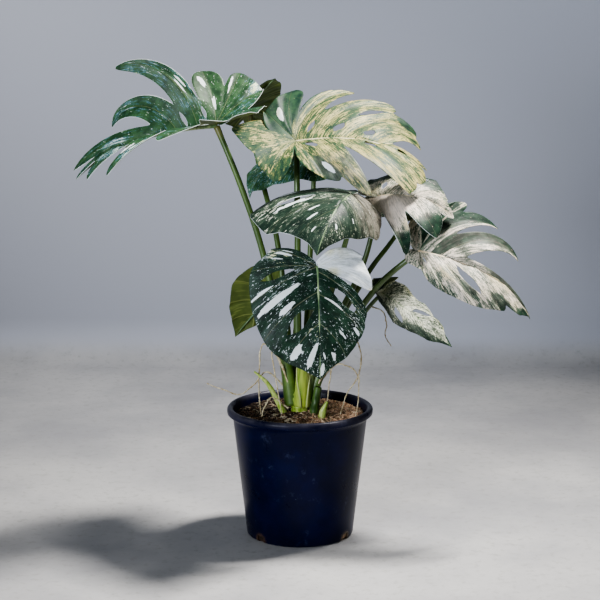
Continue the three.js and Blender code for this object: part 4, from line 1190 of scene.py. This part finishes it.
def soil_paint():
    """Bark, coir and grit: each bit has its own tint. The mix is painted darker towards the left as painted
    shade, and paler towards the right front as painted sunlight.
    """
    paint = Paint("bark_mix", 0.9)
    tint, pale, _ = paint.values("bit")
    place = paint.place()
    grain = paint.noise(place, 300.0, 5, 0.65)
    colour = paint.blend(grain, 0.3, 0.7, "1c120c", "48301f")
    bark = paint.blend(grain, 0.35, 0.7, "9a6444", "e8bc90")
    colour = paint.blend(tint, 0.25, 0.8, colour, bark)
    straw = paint.blend(grain, 0.3, 0.7, "d6bc94", "fff2d8")
    colour = paint.blend(pale, 0.4, 0.6, colour, straw)
    across, _, _ = paint.node("SeparateXYZ", Vector=place).outputs
    # Painted shade: the mix is darkened towards the left.
    colour = paint.blend(across, 0.02, -0.05, colour, "120c09", 0.55)
    # Painted sunlight: pale warm grains are laid over the mix towards the right.
    painted_sunlight = paint.times(paint.step(across, -0.02, 0.06), paint.step(grain, 0.34, 0.56))
    colour = paint.mix(paint.times(painted_sunlight, 0.75), colour, "f2ccaa")
    return paint.finish(colour, None, grain, 0.0009, 0.8)


def sphere(subdivisions):
    """A unit ball of triangles: its points and faces."""
    made = bmesh.new()
    bmesh.ops.create_icosphere(made, subdivisions=subdivisions, radius=1)
    points = np.array([v.co[:] for v in made.verts])
    faces = [[v.index for v in f.verts] for f in made.faces]
    made.free()
    return points, faces


def make_soil():
    """A low uneven mound of potting mix, with bark chips, crumbs and fibres lying on it."""
    draw = np.random.default_rng(11)
    heights = [z for _, z in SOIL["surface"]]
    radii = [r for r, _ in SOIL["surface"]]
    shape = Shape("bit")

    def ground(x, y):
        rough = 0
        for height, scale, z in ((2.6, 0.05, 3.0), (1.4, 0.19, 7.0), (0.7, 0.6, 1.0)):
            rough += height * noise.noise(Vector((x * scale, y * scale, z)))
        r = math.hypot(x, y)
        return SOIL["top"] + float(np.interp(r, radii, heights)) + rough * min(1, (112 - r) / 8) - 1.5

    def add(points, faces, tint, pale):
        shape.add(points, faces, 0, bit=np.tile([tint, pale, 0.0], (sum(len(f) for f in faces), 1)))

    def spot(reach, inner):
        """A place on the soil, and how far to the right it is, from 0 to 1."""
        r, turn = reach * math.sqrt(draw.uniform(inner, 1)), draw.uniform(0, 2 * math.pi)
        return r * math.cos(turn), r * math.sin(turn), 0.5 + 0.5 * math.cos(turn + 0.6) * r / SOIL["spread"]

    def lay(form, rings, size, x, y, sink, tint, pale):
        squared = np.sign(form) * np.abs(form) ** 0.55
        body = squared * size * (1 + 0.22 * draw.normal(size=(len(form), 1)).clip(-1.5, 1.5))
        turns = draw.uniform(0, 6.28), draw.normal(0, 0.28), draw.normal(0, 0.28)
        for angle, axes in zip(turns, ([0, 1], [1, 2], [0, 2])):
            c, s = math.cos(angle), math.sin(angle)
            body[:, axes] = body[:, axes] @ np.array([[c, s], [-s, c]])
        body += [x, y, ground(x, y) + size[2] * sink]
        if np.hypot(body[:, 0], body[:, 1]).max() <= 110:
            add(list(body), rings, tint, pale)

    bottom_r = POT["base_r"] - POT["wall"] - SOIL["gap"]
    slope = [(SOIL["edge"] * n / SOIL["rows"], 0) for n in range(SOIL["rows"], -1, -1)]
    points, faces = lathe([(0, SOIL["bottom"]), (bottom_r, SOIL["bottom"]), *slope], SOIL["segments"])
    lower = 1 + SOIL["segments"]
    add([(x, y, z if n < lower else ground(x, y)) for n, (x, y, z) in enumerate(points)], faces, 0.35, 0.0)
    ball, bead = sphere(2), sphere(1)
    for _ in range(SOIL["chips"]):
        x, y, right = spot(SOIL["spread"], 0.02)
        long = draw.uniform(*SOIL["chip_long"])
        size = np.array([long, long * draw.uniform(*SOIL["chip_wide"]), draw.uniform(*SOIL["chip_high"])])
        # Painted sunlight: chips get lighter, and more of them pale, towards the right front.
        pale = float(draw.uniform() < 0.1 + 0.16 * right)
        lay(*ball, size, x, y, 0.45, draw.uniform(0, 0.4) + 0.8 * right * right, pale)
    for _ in range(SOIL["crumbs"]):
        x, y, right = spot(SOIL["spread"], 0.01)
        size = draw.uniform(*SOIL["crumb"], 3)
        # Painted sunlight: crumbs likewise get lighter and paler towards the right front.
        pale = float(draw.uniform() < 0.1 + 0.2 * right)
        lay(*bead, size, x, y, 0.6, 0.4 * draw.uniform() + 0.4 * right, pale)
    for _ in range(SOIL["fibres"]):
        x, y, _ = spot(SOIL["fibre_spread"], 0.05)
        heading = draw.uniform(0, 6.28)
        line = []
        for _ in range(SOIL["fibre_points"]):
            line.append([x, y, ground(x, y) + 1.6 + 1.2 * draw.uniform()])
            heading += draw.normal(0, 0.45)
            x += SOIL["fibre_step"] * math.cos(heading)
            y += SOIL["fibre_step"] * math.sin(heading)
        if max(math.hypot(p[0], p[1]) for p in line) <= 108:
            made, rings, _ = tube(np.array(line), np.full(len(line), SOIL["fibre_r"]), 4)
            add(made, rings, 0.9, float(draw.uniform() < 0.5))
    return shape.piece("potting_mix", [soil_paint()], "soil", "soil")


def root_paint():
    paint = Paint("root_bark", 0.8)
    bands = paint.noise(paint.place(), 160.0, 4, 0.6)
    return paint.finish(paint.blend(bands, 0.3, 0.7, "a8946c", "e4d8b8"), None, bands, 0.0006, 0.7)


def stalk_paint():
    """A stalk: dark waxy green, yellow-green towards the crown, specked, and tan at the swollen joint."""
    paint = Paint("stalk_skin", 0.38, Coat_Weight=0.2, Coat_Roughness=0.3)
    share, length, turn = paint.values("bar")
    young, _, _ = paint.values("age")
    along = paint.vector(paint.times(length, 10.0), paint.times(turn, 12.0), share)
    streaks = paint.noise(along, 1.0, 4, 0.6)
    colour = paint.blend(streaks, 0.3, 0.7, "2c431f", "597235")
    low = paint.times(paint.step(share, 0.42, 0.12), young)
    colour = paint.mix(low, colour, paint.blend(streaks, 0.38, 0.62, "6f8f22", "b4c452"))
    specks = paint.spots(paint.place(), 420.0, 0.22, 0.35)
    colour = paint.mix(paint.times(specks, 0.4), colour, "93a070")
    colour = paint.blend(share, 0.93, 0.985, colour, "857e4c", 0.6)
    return paint.finish(colour, None, streaks, 0.0005, 0.4)


def sheath_paint():
    """The sheath of a stalk: smooth green, pale and withered along its edges."""
    paint = Paint("sheath_skin", 0.4, Coat_Weight=0.2, Coat_Roughness=0.3)
    share, edge, _ = paint.values("bar")
    young, _, _ = paint.values("age")
    grain = paint.noise(paint.vector(paint.times(share, 2.0), paint.times(edge, 9.0)), 2.0, 4, 0.6)
    green = paint.blend(grain, 0.3, 0.7, "2c4a20", "4f7230")
    yellow = paint.blend(grain, 0.3, 0.7, "87a330", "c3d068")
    colour = paint.mix(young, green, yellow)
    colour = paint.blend(edge, 0.45, 0.95, colour, "b9bf83", 0.8)
    return paint.finish(colour, None, grain, 0.0004, 0.4)


TOPS = {tone: blade_top(tone) for tone in TONES}
UNDERS = {tone: blade_under(tone) for tone in TONES}
RIB_COLOURS = {
    "dark": ("6a8a5c", "a3b886"), "deep": ("5a7a4c", "a9b584"), "mid": ("4c6a46", "869873"),
    "pale": ("c9bf92", "e3dab6"), "pink": ("cdb794", "e6d6ba"),
}
RIBS = {tone: plain_green("rib_" + tone, low, high, 0.45) for tone, (low, high) in RIB_COLOURS.items()}

for letter in LEAVES:
    make_leaf(letter)

stalk_skin = stalk_paint()
sheath_skin = sheath_paint()
stem_skin = plain_green("stem_skin", "6f9028", "b8ca64", 0.42, (60, 60, 10))
stub_skin = plain_green("stub_skin", "2f4a20", "5b7a34", 0.42, (60, 60, 10))
shoot_skin = plain_green("shoot_skin", "8fae3e", "d3dd8c", 0.42, (60, 60, 8))
root_skin = root_paint()
make_crown()

# Which way the open side of each sheath faces, and how young a stalk looks
FACING = {"a": 200, "e": 10, "b": 30, "c": 300, "f": 250}
YOUNG = {"e": 1.0, "g": 0.6}
for letter, (points, radii) in STALKS.items():
    base_frame = midrib_of(LEAVES[letter])(np.array(0.0))
    end = list(base_frame[0] - base_frame[3] * JOINT["drop"])
    make_bar(
        "petiole_" + letter, "stalk_" + letter, [*points, end], radii, [stalk_skin, sheath_skin], "stalk",
        20, 80, 0.04, JOINT["swell"], YOUNG.get(letter, 0.12), FACING.get(letter),
    )
draw = np.random.default_rng(3)
for name, (points, radii) in THIN.items():
    if name.startswith("root"):
        make_root("fine_" + name, name, points, radii, draw)
    elif name == "stub":
        make_bar("fine_stub", name, points, radii, [stub_skin], "stem", 20, 48, 0.12)
    else:
        make_bar("fine_" + name, name, points, radii, [shoot_skin], "shoot", 14, 48, 0.1)
make_pot()
make_soil()


def floor_paint():
    paint = Paint("concrete", 0.7)
    place = paint.place()
    colour = paint.blend(paint.noise(place, 2.2, 6, 0.6), 0.3, 0.7, "98989c", "b8b7b7")
    fine = paint.step(paint.noise(place, 60.0, 5, 0.7), 0.5, 0.72)
    colour = paint.mix(paint.times(fine, 0.6), colour, "8f8e8c")
    height = paint.node("SeparateXYZ", Vector=place).outputs[2]
    return paint.finish(paint.blend(height, 0.005, 0.06, colour, "b2b5c0"))


def make_floor():
    """A pale floor, and a plain wall that rises out of it in a bend behind the plant."""
    bend = [(1.25 + 0.1 * math.sin(a), 0.1 - 0.1 * math.cos(a)) for a in np.linspace(0, math.pi / 2, 9)]
    profile = [*bend, (1.35, 1)]
    points = [(x, y, -0.0002) for y in (-6, 6) for x in (-6, 6)]
    points += [(x, y, z - 0.0002) for y, z in profile for x in (-0.8, 0.8)]
    faces = [[2 * n, 2 * n + 1, 2 * n + 3, 2 * n + 2] for n in range(len(points) // 2 - 1) if n != 1]
    mesh = bpy.data.meshes.new("floor")
    mesh.from_pydata(points, [], faces)
    mesh.polygons.foreach_set("use_smooth", [True] * len(faces))
    mesh.materials.append(floor_paint())
    placed("floor", mesh)


def light(name, at, aim, size, power, colour, spread):
    data = bpy.data.lights.new(name, "AREA")
    data.size = size
    data.spread = math.radians(spread)
    data.energy = power
    data.color = colour
    made = placed(name, data)
    made.location = at
    made.rotation_euler = (Vector(aim) - Vector(at)).to_track_quat("-Z", "Y").to_euler()


make_floor()
light("key", (1.3, 0.45, 3.1), (0, -0.45, 0.1), 0.5, 31, (1, 0.97, 0.92), 62)
light("fill", (-1.6, -2.4, 1.0), (0, 0, 0.8), 1.2, 8.5, (0.86, 0.92, 1), 46)
light("soft", (-0.4, -0.9, 3.0), (0, 0, 0.6), 2.0, 2, (0.95, 0.97, 1), 90)
light("wall", (-1.3, 0.3, 1.9), (-0.6, 1.35, 0.6), 0.6, 4, (1, 1, 1), 70)
world = bpy.data.worlds.new("studio")
world.use_nodes = True
sky = world.node_tree.nodes["Background"].inputs
sky["Color"].default_value = (0.8, 0.87, 0.95, 1)
sky["Strength"].default_value = 0.1
bpy.context.scene.world = world
bpy.context.scene.view_settings.look = "AgX - Medium High Contrast"
